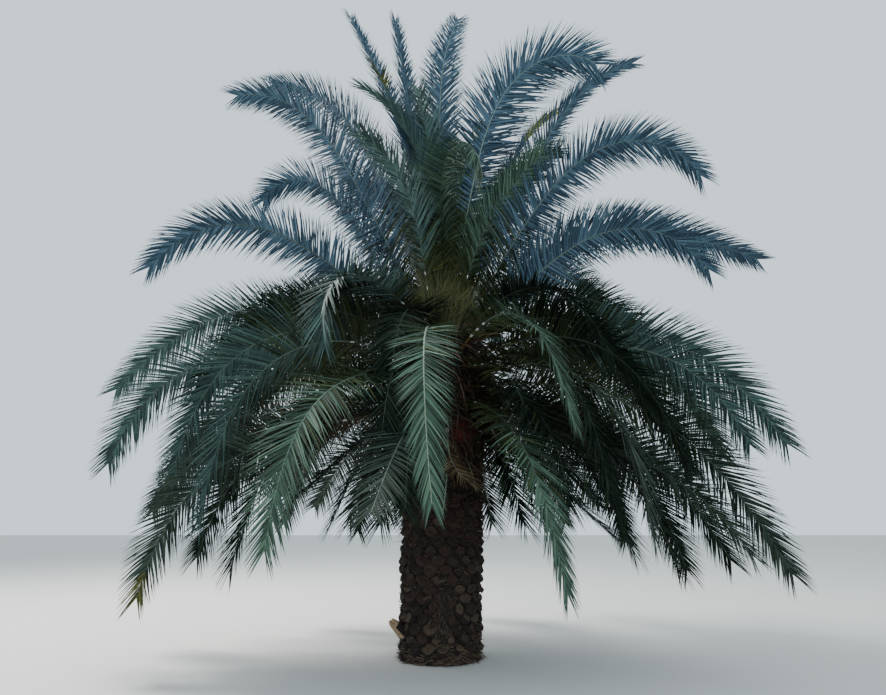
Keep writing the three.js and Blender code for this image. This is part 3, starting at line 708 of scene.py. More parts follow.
def drooping(tree, blades, floor_gap=None):
    """Lowers each point by its blade's bow times the square of its u, but not past a floor."""
    fall = tree.math("MULTIPLY", tree.number("bow"), tree.math("POWER", tree.number("u"), 2.0))
    drop = tree.math("MULTIPLY", fall, -1.0)
    if floor_gap is not None:
        drop = tree.math("MAXIMUM", drop, floor_gap)
    offset = tree.add("ShaderNodeCombineXYZ", 0.0, 0.0, drop)
    return tree.add("GeometryNodeSetPosition", blades, None, None, offset)


def leaflet_tree(materials):
    tree = NodeTree("leaflets along a rib", {
        "Shape": None, "Pitch": 0.022, "Width": 0.022, "Fold": 0.25, "Unevenness": 0.06,
        "Turn": math.radians(3), "Clump": math.radians(4), "Droop": 0.10, "Seed": 1,
    })
    curves = tree.add("GeometryNodeMeshToCurve", tree.inputs["Geometry"])
    curves = tree.add("GeometryNodeResampleCurve", curves, None, tree.inputs["Pitch"], mode="LENGTH")
    left = leaflet_row(tree, curves, -1, LEFT_SEEDS)
    right = leaflet_row(tree, curves, 1, RIGHT_SEEDS)
    blades = tree.add("GeometryNodeRealizeInstances", tree.join(left, right))
    tree.finish(drooping(tree, blades), materials)
    return tree


crown_tree = leaflet_tree(leaf_materials)
print("nodes in the leaflet tree", len(crown_tree.group.nodes))

# %% [markdown]
# The guide for the leaflets starts where the bare petiole ends. At each point it carries
# the leaflets' sweep and length there, which are the solids' rule again, and two tones with
# the share in which they are mixed. A frond's foot is mossy, partly with the olive of the
# leaves' feet and partly with painted shade of the crown's inside, and gives way to the
# whorl's own tone. A short list names the fronds and the stretches that have another one.

# %% Guides for the leaflets
SWEEP_AT_TIP = math.radians(30)
SWEEP_POWER = 2
FURLED_SWEEP = math.radians(7)
LENGTH_AT_FOOT = 0.55
FULL_LENGTH_SHARE = 0.22
LENGTH_LOST_AT_TIP = 0.5
LOSS_POWER = 4
FURL_START = 0.35
FURL_LENGTH = 0.4
TINY_SHARE = 1e-6
# The whorl's own tone, the tone of its feet, and the shares between which that gives way; moss
# at the feet is partly painted shade
WHORL_TONES = {
    "spear_frond": ("slate", "moss", 0.05, 0.40),
    "upper_frond": ("slate", "moss", 0.00, 0.32),
    "middle_frond": ("sea", "moss", 0.00, 0.30),
    "lower_frond": ("green", "moss", 0.05, 0.55),
    "skirt_frond": ("dusk", "moss", 0.10, 0.70),
    "bottom_frond": ("dusk", "umber", 0.00, 0.50),
}
# The fronds of a whorl that have another tone than the whorl's own, by their numbers; the
# inner ones take the darkest green, which is painted shade
FROND_TONE = {
    "upper_frond": {},
    "spear_frond": {"sea": (3, 9, 11, 12, 13), "green": (7, 10, 14, 16)},
    "middle_frond": {"slate": (1, 3, 4), "sea": (2,), "deep": (9, 10, 11, 12, 13, 14, 15, 16)},
    "lower_frond": {"sea": (1, 2, 3, 4, 8, 9), "deep": (7, 11, 16, 17, 18, 19, 20, 21)},
    "skirt_frond": {"green": (1, 4), "deep": (2, 5, 9, 12, 13, 14, 15, 16, 17)},
    "bottom_frond": {"straw": (2,), "deep": (3, 5, 8, 13, 14, 15, 16, 17, 18, 19, 20)},
}
# Stretches in a tone of their own: the shares where they begin and end
STRETCHES = {
    "spear_frond_6": ("yellow", 0.74, 1.00), "spear_frond_2": ("olive", 0.66, 0.73),
    "bottom_frond_4": ("olive", 0.92, 1.00),
}


def rule_of_leaflets(frond, share):
    """The leaflets' sweep and length along a rib."""
    along = np.clip((share - frond["bare"]) / (1 - frond["bare"]), 0, 1)
    fullness = LENGTH_AT_FOOT + (1 - LENGTH_AT_FOOT) * smooth(along / FULL_LENGTH_SHARE)
    fullness = fullness * (1 - LENGTH_LOST_AT_TIP * along**LOSS_POWER)
    furled = frond["furl"] * smooth((along - FURL_START) / FURL_LENGTH)
    foot_sweep = math.radians(frond["sweep"])
    open_sweep = foot_sweep + (SWEEP_AT_TIP - foot_sweep) * along**SWEEP_POWER
    sweep = open_sweep + (FURLED_SWEEP - open_sweep) * furled
    return along, sweep, frond["leaflet"] * fullness


def cut_frames(frond, first, last):
    """The rib's frames between two shares of its length."""
    frames = frond["frames"]
    kept = (frames["share"] >= first - TINY_SHARE) & (frames["share"] <= last + TINY_SHARE)
    return {key: values[kept] for key, values in frames.items()}


def tones_along(whorl, frond, along):
    """Two tone numbers and the share of the second one, for each point along the leaflets."""
    own, foot, begin, end = WHORL_TONES[whorl]
    number = int(frond["name"].rsplit("_", 1)[1])
    for marked, numbers in FROND_TONE[whorl].items():
        own = marked if number in numbers else own
    tone = np.full_like(along, TONE_NUMBER[own])
    other = np.full_like(along, TONE_NUMBER[foot])
    blend = 1 - smooth((along - begin) / (end - begin))
    if own == "straw":
        blend[:] = 0
    if frond["name"] in STRETCHES:
        marked, begin, end = STRETCHES[frond["name"]]
        inside = (along >= begin) & (along <= end)
        tone[inside] = TONE_NUMBER[marked]
        blend[inside] = 0
    return tone, other, blend


def leaflet_strand(whorl, frond):
    strand = cut_frames(frond, frond["bare"], 1)
    along, sweep, reach = rule_of_leaflets(frond, strand["share"])
    strand["sweep"] = sweep
    strand["reach"] = reach
    strand["vee"] = np.full_like(along, math.radians(frond["vee"]))
    strand["tone"], strand["other_tone"], strand["blend"] = tones_along(whorl, frond, along)
    return strand


strands = {
    whorl: [leaflet_strand(whorl, frond) for frond in fronds] for whorl, fronds in all_fronds.items()
}
guide_points = sum(len(strand["point"]) for group in strands.values() for strand in group)
print("points in the leaflet guides", guide_points)

# %% [markdown]
# One tree serves all six whorls, with other sizes and another seed for each. Every whorl
# becomes one joined mesh, which keeps a piece light enough and lets it stand for the solids
# of its own whorl. The steep fronds at the top have the closest leaflets, as they are seen
# against the sky.

# %% Grow the leaflets, one piece to each whorl
SEEDS_PER_WHORL = 100
LEAFLET_SEEDS = {whorl: SEEDS_PER_WHORL * number for number, whorl in enumerate(WHORLS, 1)}
# How far apart the leaflets of a whorl stand, how wide they are, and how much they turn
LEAFLET_SIZES = {
    "spear_frond": dict(pitch=0.0135, width=0.020, turn=math.radians(7), clump=math.radians(8)),
    "upper_frond": dict(pitch=0.015, width=0.022),
    "middle_frond": dict(pitch=0.016, width=0.022),
    "lower_frond": dict(pitch=0.021, width=0.020),
    "skirt_frond": dict(pitch=0.021, width=0.020),
    "bottom_frond": dict(pitch=0.021, width=0.020),
}


def nodes_of(whorl):
    """The solids that stand for the fronds of a whorl."""
    return [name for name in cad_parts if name.startswith(whorl + "_")]


def place(piece, nodes, slot):
    """Rides a finished piece on the tree and hides the solids that it takes the place of."""
    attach(piece, "root")
    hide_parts(*nodes)


for whorl in WHORLS:
    name = whorl.replace("_frond", "_leaflets")
    guide = guide_mesh(name + "_guide", strands[whorl])
    piece = grow(
        name, guide, crown_tree, shape=leaflet_shape,
        seed=LEAFLET_SEEDS[whorl], **LEAFLET_SIZES[whorl],
    )
    place(piece, nodes_of(whorl), "fronds")
    print(name, triangle_count(piece), "triangles")

# %% [markdown]
# The lowest part of a petiole has spines instead of leaflets, which grow longer towards the
# leaflets: in the heart of the crown they are long and olive, further down short and brown.
# They come from the same tree as the leaflets, with a guide that ends soon after those begin.

# %% Grow the spines
SPINE_REACH = {
    "spear_frond": 0.40, "upper_frond": 0.34, "middle_frond": 0.30,
    "lower_frond": 0.24, "skirt_frond": 0.20, "bottom_frond": 0.16,
}
# The tone of most spines and that of the others; the darkest green on lower spines is painted shade
SPINE_TONES = {
    "spear_frond": ("olive", "moss"), "upper_frond": ("olive", "moss"),
    "middle_frond": ("moss", "umber"), "lower_frond": ("umber", "deep"),
    "skirt_frond": ("umber", "deep"), "bottom_frond": ("umber", "straw"),
}
OTHER_TONE_SHARE = 0.35
SPINE_FIRST = 0.01
SPINE_LAST = {"spear_frond": 0.22, "upper_frond": 0.18}
SPINES_PAST_BARE = 1.4
SPINE_SWEEP = (42, 62)
SPINE_REACH_AT_FOOT = 0.35
SPINE_VEE = 24
SPINE_SIZES = dict(pitch=0.008, width=0.014, unevenness=0.4, turn=math.radians(24))
SPINE_SEED_STEP = 50


def spine_strand(whorl, frond):
    last = SPINE_LAST.get(whorl, frond["bare"] * SPINES_PAST_BARE)
    strand = cut_frames(frond, SPINE_FIRST, last)
    share = strand["share"]
    climb = (share - SPINE_FIRST) / (last - SPINE_FIRST)
    own, other = SPINE_TONES[whorl]
    strand["sweep"] = np.radians(SPINE_SWEEP[0] + (SPINE_SWEEP[1] - SPINE_SWEEP[0]) * climb)
    strand["reach"] = SPINE_REACH[whorl] * (SPINE_REACH_AT_FOOT + (1 - SPINE_REACH_AT_FOOT) * climb)
    strand["vee"] = np.full_like(share, math.radians(SPINE_VEE))
    strand["tone"] = np.full_like(share, TONE_NUMBER[own])
    strand["other_tone"] = np.full_like(share, TONE_NUMBER[other])
    strand["blend"] = np.full_like(share, OTHER_TONE_SHARE)
    return strand


for whorl, fronds in all_fronds.items():
    name = whorl.replace("_frond", "_spines")
    guide = guide_mesh(name + "_guide", [spine_strand(whorl, frond) for frond in fronds])
    piece = grow(
        name, guide, crown_tree, shape=spine_shape,
        seed=LEAFLET_SEEDS[whorl] + SPINE_SEED_STEP, **SPINE_SIZES,
    )
    place(piece, nodes_of(whorl), "fronds")
    print(name, triangle_count(piece), "triangles")

# %% [markdown]
# The ribs are thick at the foot and thin as a pencil at the tip. Curve to Mesh draws an
# eight-sided section along each curve, with the rule's own top as the curve's normal, so
# that the flattened section rolls with the blade. The foot widens towards the trunk, as the
# real leaf base does where it clasps it. Its colours are plain ones too, dealt out along the
# rib: brown at the foot, then ochre and olive. From there on the colour is painted light and
# shade: dark green as painted shade or, on the fronds whose rib catches the light, grey-green
# or pale as a painted highlight.

# %% The rib's colours
RIB_COLOURS = {
    "brown": (66, 46, 30), "ochre": (104, 84, 44), "olive": (78, 80, 46),
    # Past the foot, dark is painted shade and grey and pale are painted highlights; pale is also the
    # dry stalks' own colour
    "dark": (52, 66, 52), "grey": (84, 100, 88), "pale": (124, 138, 116),
}
RIB_TONES = list(RIB_COLOURS)
# The ribs painted grey or pale as a highlight: the others are painted dark past the foot, as shade
PAINTED_HIGHLIGHT_RIBS = {
    "pale": (
        "spear_frond_4", "spear_frond_5", "spear_frond_7", "lower_frond_5", "bottom_frond_2",
    ),
    "grey": (
        "upper_frond_1", "upper_frond_2", "upper_frond_4", "upper_frond_5", "middle_frond_3",
        "middle_frond_4", "lower_frond_3", "lower_frond_4", "lower_frond_6", "lower_frond_8",
        "lower_frond_9", "skirt_frond_1", "skirt_frond_6", "bottom_frond_1",
    ),
}


def outer_tone(name):
    """The tone of a rib past its foot: a painted highlight on ribs that catch the light, painted
    shade on the others.
    """
    for tone, names in PAINTED_HIGHLIGHT_RIBS.items():
        if name in names:
            return tone
    return "dark"


def rib_material(name, colour):
    finish = Finish("rib_" + name, colour, 0.5)
    finish.bump(finish.noise(finish.stretched(1, 1, 1), 38.0), 0.002, 0.4)
    return finish.material


rib_materials = [rib_material(name, colour) for name, colour in RIB_COLOURS.items()]
print("rib colours", len(rib_materials))

# %% [markdown]
# A rib is a section drawn along a path, which is what Curve to Mesh is for. Its third input
# scales the section by the width that each point of the guide carries, so that one tree draws
# the stout lower petioles, the slender spears and, later, the dry stalks.

# %% The tree that draws the ribs
RIB_SIDES = 8
RIB_DEPTH_TO_WIDTH = 0.62
RIB_STEP = 0.05
RIB_TIP_WIDTH = 0.008
RIB_TAPER_POWER = 0.32
RIB_SLIMNESS = 0.78
FOOT_FLARE = 1.3
FOOT_FLARE_LENGTH = 0.16
# The shares of a rib at which its tones change, and the tones at all but the last of them
TONE_STOPS = (0.0, 0.03, 0.06, 0.12, 0.16, 0.26)
FOOT_TONES = ("brown", "brown", "ochre", "ochre", "olive")


def rib_tree():
    tree = NodeTree("ribs", {"Step": RIB_STEP, "Depth": RIB_DEPTH_TO_WIDTH})
    curves = tree.add("GeometryNodeMeshToCurve", tree.inputs["Geometry"])
    curves = tree.add("GeometryNodeResampleCurve", curves, None, tree.inputs["Step"], mode="LENGTH")
    curves = tree.add("GeometryNodeSetCurveNormal", curves, None, tree.direction("top"), mode="FREE")
    section = tree.add("GeometryNodeCurvePrimitiveCircle", RIB_SIDES, 0.5)
    flat = tree.add("ShaderNodeCombineXYZ", tree.inputs["Depth"], 1.0, 1.0)
    section = tree.add("GeometryNodeTransform", section, None, None, flat)
    ribs = tree.add("GeometryNodeCurveToMesh", curves, section, tree.number("width"), True)
    ribs = tree.add("GeometryNodeSetShadeSmooth", ribs)
    tree.finish(ribs, rib_materials)
    return tree


def rib_strand(frond):
    strand = cut_frames(frond, 0, 1)
    share = strand["share"]
    petiole = frond["petiole"] * RIB_SLIMNESS
    width = petiole + (RIB_TIP_WIDTH - petiole) * share**RIB_TAPER_POWER
    flare = 1 + FOOT_FLARE * np.exp(-share * frond["length"] / FOOT_FLARE_LENGTH)
    strand["width"] = width * flare
    tones = [RIB_TONES.index(tone) for tone in (*FOOT_TONES, outer_tone(frond["name"]))]
    strand["shade"] = np.interp(share, TONE_STOPS, tones).round()
    return strand


ribs = rib_tree()
for whorl, fronds in all_fronds.items():
    name = whorl.replace("_frond", "_ribs")
    guide = guide_mesh(name + "_guide", [rib_strand(frond) for frond in fronds])
    piece = grow(name, guide, ribs)
    place(piece, nodes_of(whorl), "fronds")
    print(name, triangle_count(piece), "triangles")

# %% [markdown]
# The trunk is a core clad in leaf bases and fibres. The core is a fine grid wrapped round the
# profile, sunk a little and roughened, so that it shows as dark bark between the leaf bases.
# Later it also carries the fibres: a copy of it tells their tree where and how they lie.

# %% The trunk's core
CORE_COLUMNS = 200
CORE_ROWS = 240
CORE_SINK = 0.014
CORE_ROUGHNESS = 0.016
LUMPS_ROUND = 5
LUMPS_UP = 9
# Where the trunk is thinner than this, all that clads it shrinks with it
FULL_SIZE_RADIUS = 0.3
THINNEST_CORE = 0.02
# A patch of upright rootlets low on the viewer's side, in degrees and metres, and how softly
# it ends beside, below and above
ROOTY_AZIMUTH = -84
ROOTY_HALF_WIDTH = 16
ROOTY_HEIGHTS = (0.15, 0.75)
ROOTY_EDGES = (6, 0.08, 0.12)


def core_material():
    finish = Finish("trunk_core", (30, 23, 19), 0.95)
    place = finish.stretched(1, 1, 2.2)
    stains = finish.noise(place, 5.0, 6.0, 0.7)
    shades = ((0.30, (16, 11, 8)), (0.50, (28, 20, 14)), (0.70, (48, 35, 25)))
    finish.paint(finish.ramp(stains, *shades))
    finish.bump(finish.noise(finish.stretched(1, 1, 5), 26.0, 6.0), 0.012, 0.8)
    return finish.material


def in_rooty_patch(azimuth_degrees, height):
    """1 inside the patch of rootlets, 0 away from it."""
    off = (azimuth_degrees - ROOTY_AZIMUTH + 180) % 360 - 180
    low, high = ROOTY_HEIGHTS
    side_edge, low_edge, high_edge = ROOTY_EDGES
    beside = 1 - smooth((np.abs(off) - ROOTY_HALF_WIDTH) / side_edge)
    return beside * smooth((height - low) / low_edge) * (1 - smooth((height - high) / high_edge))


def core_mesh():
    azimuths = np.linspace(0, 2 * math.pi, CORE_COLUMNS, endpoint=False)
    heights = np.linspace(0, TRUNK_TOP, CORE_ROWS + 1)
    points = []
    for height in heights:
        radius = trunk_radius(height)
        lean = trunk_lean(height)
        slim = min(1.0, radius / FULL_SIZE_RADIUS)
        for azimuth in azimuths:
            x, y = math.cos(azimuth), math.sin(azimuth)
            spot = Vector((x * LUMPS_ROUND, y * LUMPS_ROUND, height * LUMPS_UP))
            rough = noise.fractal(spot, 0.9, 2.1, 4)
            r = max(THINNEST_CORE, radius - CORE_SINK * slim + CORE_ROUGHNESS * slim * rough)
            points.append((lean + r * x, r * y, height))
    faces = []
    for row in range(CORE_ROWS):
        for k in range(CORE_COLUMNS):
            a = row * CORE_COLUMNS + k
            b = row * CORE_COLUMNS + (k + 1) % CORE_COLUMNS
            faces.append((a, b, b + CORE_COLUMNS, a + CORE_COLUMNS))
    faces.append(tuple(range(CORE_COLUMNS - 1, -1, -1)))
    faces.append(tuple(range(CORE_ROWS * CORE_COLUMNS, (CORE_ROWS + 1) * CORE_COLUMNS)))
    return mesh_of("trunk_core", points, faces), np.array(points)


core_shape, core_points = core_mesh()
core_shape.shade_smooth()
core_shape.materials.append(core_material())
core = add_object("trunk_core", core_shape)
place(core, ["trunk"], "bark")
print("trunk core", triangle_count(core), "triangles")

# %% [markdown]
# The leaf bases sit on the same staggered lattice as the solids' lozenges. Each is a stump of
# rounded diamond section that tips upwards, with a rim and a slightly hollow cut face. The
# lattice is a guide of loose points, and the tree turns, scales and tones each stump.

# %% One leaf base
STUMP_SIDES = 16
# Along the stump: how far out, the share of its section, and whether it is the cut face
STUMP_RINGS = (
    (-0.35, 1.02, 0), (0.1, 1.0, 0), (0.55, 0.94, 0), (0.92, 0.82, 0),
    (1.0, 0.70, 1), (0.90, 0.52, 1), (0.74, 0.26, 1),
)
# The section is a diamond at 1 and a circle at 2
STUMP_POWER = 1.45


def stump_mesh():
    points = []
    faces = []
    cut = []
    for out, size, _ in STUMP_RINGS:
        for k in range(STUMP_SIDES):
            turn = 2 * math.pi * k / STUMP_SIDES
            c, s = math.cos(turn), math.sin(turn)
            spread = (abs(c) ** STUMP_POWER + abs(s) ** STUMP_POWER) ** (1 / STUMP_POWER)
            r = 0.5 * size / spread
            points.append((out, r * c, r * s))
    for ring, (_, _, on_face) in enumerate(STUMP_RINGS[1:]):
        for k in range(STUMP_SIDES):
            a = ring * STUMP_SIDES + k
            b = ring * STUMP_SIDES + (k + 1) % STUMP_SIDES
            faces.append((a, b, b + STUMP_SIDES, a + STUMP_SIDES))
            cut.append(on_face)
    last = (len(STUMP_RINGS) - 1) * STUMP_SIDES
    faces.append(tuple(range(last, last + STUMP_SIDES)))
    cut.append(1)
    mesh = mesh_of("stump", points, faces)
    write_attribute(mesh, "cut", cut, "FACE")
    return mesh


stump_shape = template(stump_mesh())
print("leaf base", triangle_count(stump_shape), "triangles")

# %% [markdown]
# Weathered leaf bases are nearly black, brown where they were cut long ago and greyish where
# the cut is young. The cut faces, which tip upwards, are lighter than the sides partly because
# the cut is paler and partly as a painted highlight of the light on their tops. A few finishes
# for the sides and a few for the cut faces are enough, as the tree deals them out at random.
# Each is a fine noise between a dark and a light shade, with a bump, so that no stump looks
# smooth from close by.

# %% The finishes of the leaf bases
STUMP_SIDE_SHADES = (
    ((16, 11, 8), (42, 28, 20)),
    ((12, 8, 6), (30, 20, 14)),
    ((20, 13, 9), (54, 35, 23)),
)
# The cut faces: their paler cut with a painted highlight of the light on their tops
STUMP_FACE_SHADES = (
    ((24, 17, 13), (76, 60, 46)),
    ((18, 12, 9), (56, 41, 30)),
    ((14, 9, 7), (42, 29, 21)),
    ((30, 23, 17), (98, 81, 64)),
    ((24, 15, 11), (68, 44, 32)),
)


def stump_material(name, shades, grain):
    dark, light = shades
    finish = Finish(name, dark, 0.92)
    place = finish.stretched(1, 1, 0.6)
    finish.paint(finish.ramp(finish.noise(place, grain, 5.0, 0.75), (0.36, dark), (0.66, light)))
    finish.bump(finish.noise(place, grain * 0.7, 5.0, 0.7), 0.014, 1.0)
    return finish.material


def stump_finishes(part, all_shades, grain):
    return [
        stump_material(f"stump_{part}_{number}", shades, grain)
        for number, shades in enumerate(all_shades)
    ]


stump_materials = stump_finishes("side", STUMP_SIDE_SHADES, 55.0)
stump_materials += stump_finishes("face", STUMP_FACE_SHADES, 75.0)
print("leaf base shades", len(stump_materials))

# %% [markdown]
# The tree puts one stump on each point of its guide, aimed out of the trunk to within twenty
# degrees, and with an uneven size. Then it pulls every vertex about by a noise, which tears
# the edges, and gives the cut faces one shade and the sides another.

# %% The tree that sets the leaf bases
STUMP_SKEW = 0.22
LEAST_STUMP = 0.6
MOST_STUMP = 1.45


def stump_tree():
    tree = NodeTree("leaf bases", {
        "Shape": None, "Tilt": math.radians(20), "Turn": math.radians(20), "Unevenness": 0.24,
        "Raggedness": 0.030, "Grain": 20.0, "Seed": 1,
    })
    points = tree.add("GeometryNodeMeshToPoints", tree.inputs["Geometry"])
    tilt = tree.math("MULTIPLY", tree.random(-1.0, 1.0, 1), tree.inputs["Tilt"])
    turn = tree.math("MULTIPLY", tree.random(-1.0, 1.0, 2), tree.inputs["Turn"])
    out = tree.sum(
        tree.direction("out"),
        tree.times(tree.direction("rise"), tree.math("TANGENT", tilt)),
        tree.times(tree.direction("aside"), tree.math("TANGENT", turn)),
    )
    skew = tree.random(-STUMP_SKEW, STUMP_SKEW, 3)
    rise = tree.sum(tree.direction("rise"), tree.times(tree.direction("aside"), skew))

    def uneven(seed_step):
        spread = tree.math("MULTIPLY", tree.random(-1.0, 1.0, seed_step), tree.inputs["Unevenness"])
        return tree.math("ADD", spread, 1.0)

    scale = tree.add(
        "ShaderNodeCombineXYZ",
        tree.math("MULTIPLY", tree.number("reach"), tree.random(LEAST_STUMP, MOST_STUMP, 4)),
        tree.math("MULTIPLY", tree.number("wide"), uneven(5)),
        tree.math("MULTIPLY", tree.number("high"), uneven(6)),
    )
    side = tree.whole(len(STUMP_SIDE_SHADES), 7)
    face = tree.math("ADD", tree.whole(len(STUMP_FACE_SHADES), 8), float(len(STUMP_SIDE_SHADES)))
    marked = tree.store(points, "side_shade", side)
    marked = tree.store(marked, "face_shade", face)
    stumps = tree.set_on(marked, out, rise, scale)
    stumps = tree.add("GeometryNodeRealizeInstances", stumps)
    here = tree.add("GeometryNodeInputPosition")
    swirl = tree.add("ShaderNodeTexNoise", here, tree.inputs["Grain"], 3.0).node.outputs["Color"]
    pull = tree.times(tree.vector("SUBTRACT", swirl, (0.5, 0.5, 0.5)), tree.inputs["Raggedness"])
    stumps = tree.add("GeometryNodeSetPosition", stumps, None, None, pull)
    gap = tree.math("SUBTRACT", tree.number("face_shade"), tree.number("side_shade"))
    shade = tree.math("MULTIPLY_ADD", gap, tree.number("cut"), tree.number("side_shade"))
    tree.finish(tree.store(stumps, "shade", shade, "FACE"), stump_materials)
    return tree


base_tree = stump_tree()
print("nodes in the leaf base tree", len(base_tree.group.nodes))

# %% [markdown]
# On a palm the leaves follow each other in spirals, which show as a lattice of diamonds when
# their bases are cut. Here that is rows of seventeen, each turned by half a step against the
# one below. The lattice is worked out in plain Python, since it is the solids' rule, and goes
# to the tree as loose points. The bases shrink under the patch of rootlets, which hides them,
# and towards the crown, where they end.

# %% Set the leaf bases on the trunk
BASE_REACH = 0.042
BASE_HEIGHT = 0.150
BASE_WIDTH_SHARE = 0.98
BASE_SEAT = -0.014
BASE_TILT = 0.55
BASE_PLACE_IN_ROW = 0.42
FIRST_ROW = 1
SLIMMEST_CLAD = 0.5
# How much of its reach, width and height a base loses under the rootlets
ROOTY_LOSS = (0.75, 0.35, 0.3)


def lattice_points():
    """One row to each leaf base: its point, three directions and three sizes."""
    rows = []
    for row in range(FIRST_ROW, BASE_ROWS):
        height = (row + BASE_PLACE_IN_ROW) * TRUNK_TOP / BASE_ROWS
        slim = min(1.0, trunk_radius(height) / FULL_SIZE_RADIUS)
        if slim < SLIMMEST_CLAD:
            break
        wide = 2 * math.pi * trunk_radius(height) / BASES_PER_ROW * BASE_WIDTH_SHARE
        for column in range(BASES_PER_ROW):
            azimuth = (column + (row % 2) / 2 + 0.5) * 2 * math.pi / BASES_PER_ROW
            rooty = float(in_rooty_patch(math.degrees(azimuth), height))
            flat = np.array([math.cos(azimuth), math.sin(azimuth), 0])
            aside = np.array([-math.sin(azimuth), math.cos(azimuth), 0])
            out = flat + np.array([0, 0, BASE_TILT])
            out /= np.linalg.norm(out)
            rise = np.cross(out, aside)
            sizes = (BASE_REACH * slim, wide, BASE_HEIGHT * slim)
            sizes = [size * (1 - loss * rooty) for size, loss in zip(sizes, ROOTY_LOSS)]
            rows.append((trunk_point(height, azimuth, BASE_SEAT), out, rise, aside, *sizes))
    return [np.array(values) for values in zip(*rows)]


stump_keys = ("out", "rise", "aside", "reach", "wide", "high")
stump_columns = lattice_points()
stump_guide = mesh_of("leaf_bases_guide", stump_columns[0])
for key, values in zip(stump_keys, stump_columns[1:]):
    write_attribute(stump_guide, key, values)
stumps = grow("leaf_bases", stump_guide, base_tree, shape=stump_shape, seed=7)
place(stumps, ["trunk"], "bark")
print("leaf bases", len(stump_columns[0]), "stumps,", triangle_count(stumps), "triangles")

# %% [markdown]
# Old sheaths fray into fibres that lie over the trunk. The same slim body is strewn over the
# core, laid along it at the slant that each zone calls for, and lifted a little at its end:
# level at the ground and where the lowest live fronds start, upright on the rooty patch and
# in the crown.

# %% The tree that strews the fibres
FIBRE_SHADES = ((128, 110, 88), (88, 72, 56), (56, 44, 34), (34, 27, 22))
RED_FIBRE_SHADES = ((84, 44, 32), (60, 33, 26), (40, 25, 21))
ROOT_SHADES = ((92, 76, 60), (60, 48, 38), (42, 33, 27), (28, 22, 18))
FLAKE_SHADES = ((88, 76, 64), (54, 44, 36), (34, 27, 22), (24, 19, 16))
OCHRE_FIBRE_SHADES = ((128, 100, 52), (104, 80, 42), (82, 62, 36), (62, 46, 30))
OLIVE_FIBRE_SHADES = ((116, 118, 70), (90, 94, 55), (68, 72, 43), (49, 53, 34))
DEAD_SHADES = ((104, 82, 60), (74, 58, 43), (50, 40, 31), (34, 28, 23))
SHEATH_SHADES = ((58, 46, 35), (44, 36, 28), (32, 28, 22), (25, 23, 18))
GROUND_CLEARANCE = 0.001
LEAST_FIBRE_WIDTH = 0.6
MOST_FIBRE_WIDTH = 1.4


def fibre_materials(name, shades):
    made = []
    for number, colour in enumerate(shades):
        finish = Finish(f"{name}_{number}", colour, 0.85)
        finish.bump(finish.noise(finish.stretched(1, 1, 1), 90.0), 0.001, 0.5)
        made.append(finish.material)
    return made


def fibre_tree(name, materials):
    tree = NodeTree(name, {
        "Shape": None, "Density": 900.0, "Shortest": 0.06, "Longest": 0.16, "Width": 0.004,
        "Lift": 0.25, "Sag": 0.25, "Seed": 1,
    })
    scatter = tree.group.nodes.new("GeometryNodeDistributePointsOnFaces")
    scatter.distribute_method = "RANDOM"
    tree.group.links.new(tree.inputs["Geometry"], scatter.inputs["Mesh"])
    amount = tree.math("MULTIPLY", tree.number("fibre"), tree.inputs["Density"])
    tree.group.links.new(amount, scatter.inputs["Density"])
    tree.group.links.new(tree.inputs["Seed"], scatter.inputs["Seed"])
    normal = scatter.outputs["Normal"]
    level = tree.vector("NORMALIZE", tree.vector("CROSS_PRODUCT", (0.0, 0.0, 1.0), normal))
    upright = tree.vector("CROSS_PRODUCT", normal, level)
    off = tree.random(-1.0, 1.0, 1)
    slant = tree.math("MULTIPLY_ADD", off, tree.number("spread"), tree.number("slant"))
    coin = tree.math("ROUND", tree.random(0.0, 1.0, 2))
    either = tree.math("SUBTRACT", tree.math("MULTIPLY", coin, 2.0), 1.0)
    way = tree.sum(
        tree.times(level, tree.math("MULTIPLY", tree.math("COSINE", slant), either)),
        tree.times(upright, tree.math("SINE", slant)),
        tree.times(normal, tree.math("MULTIPLY", tree.random(0.0, 1.0, 3), tree.inputs["Lift"])),
    )
    span = tree.math("SUBTRACT", tree.inputs["Longest"], tree.inputs["Shortest"])
    length = tree.math("MULTIPLY_ADD", tree.random(0.0, 1.0, 4), span, tree.inputs["Shortest"])
    thickness = tree.random(LEAST_FIBRE_WIDTH, MOST_FIBRE_WIDTH, 5)
    width = tree.math("MULTIPLY", tree.inputs["Width"], thickness)
    scale = tree.add("ShaderNodeCombineXYZ", length, width, width)
    bow = tree.math("MULTIPLY", tree.inputs["Sag"], tree.random(0.0, 1.0, 6))
    marked = tree.store(scatter.outputs["Points"], "bow", tree.math("MULTIPLY", length, bow))
    marked = tree.store(marked, "shade", tree.whole(len(materials), 7))
    fibres = tree.add("GeometryNodeRealizeInstances", tree.set_on(marked, way, normal, scale))
    split = tree.group.nodes.new("ShaderNodeSeparateXYZ")
    tree.group.links.new(tree.add("GeometryNodeInputPosition"), split.inputs[0])
    floor_gap = tree.math("SUBTRACT", GROUND_CLEARANCE, split.outputs["Z"])
    tree.finish(drooping(tree, fibres, floor_gap), materials)
    return tree


print("fibre finishes and the fibre tree are ready to be made, zone by zone")

# %% [markdown]
# From the ground up there is a ring of litter, the patch of rootlets, loose fibres and flakes
# over the cut bases, reddish fibre over the upper ones, dry strands, sheath fibre and dead
# leaflets where the live fronds start, and ochre and olive fibre in the heart of the crown.
# Each zone is a row of settings, and its amount fades out softly at both ends.

# %% Strew the fibres, zone by zone
RING_HEIGHT = 0.16
core_height = core_points[:, 2]
from_middle = core_points[:, 0] - trunk_lean(core_height)
core_azimuth = np.degrees(np.arctan2(core_points[:, 1], from_middle))
rooty = in_rooty_patch(core_azimuth, core_height)
LEVEL = math.radians(4)
UPRIGHT = math.radians(90)


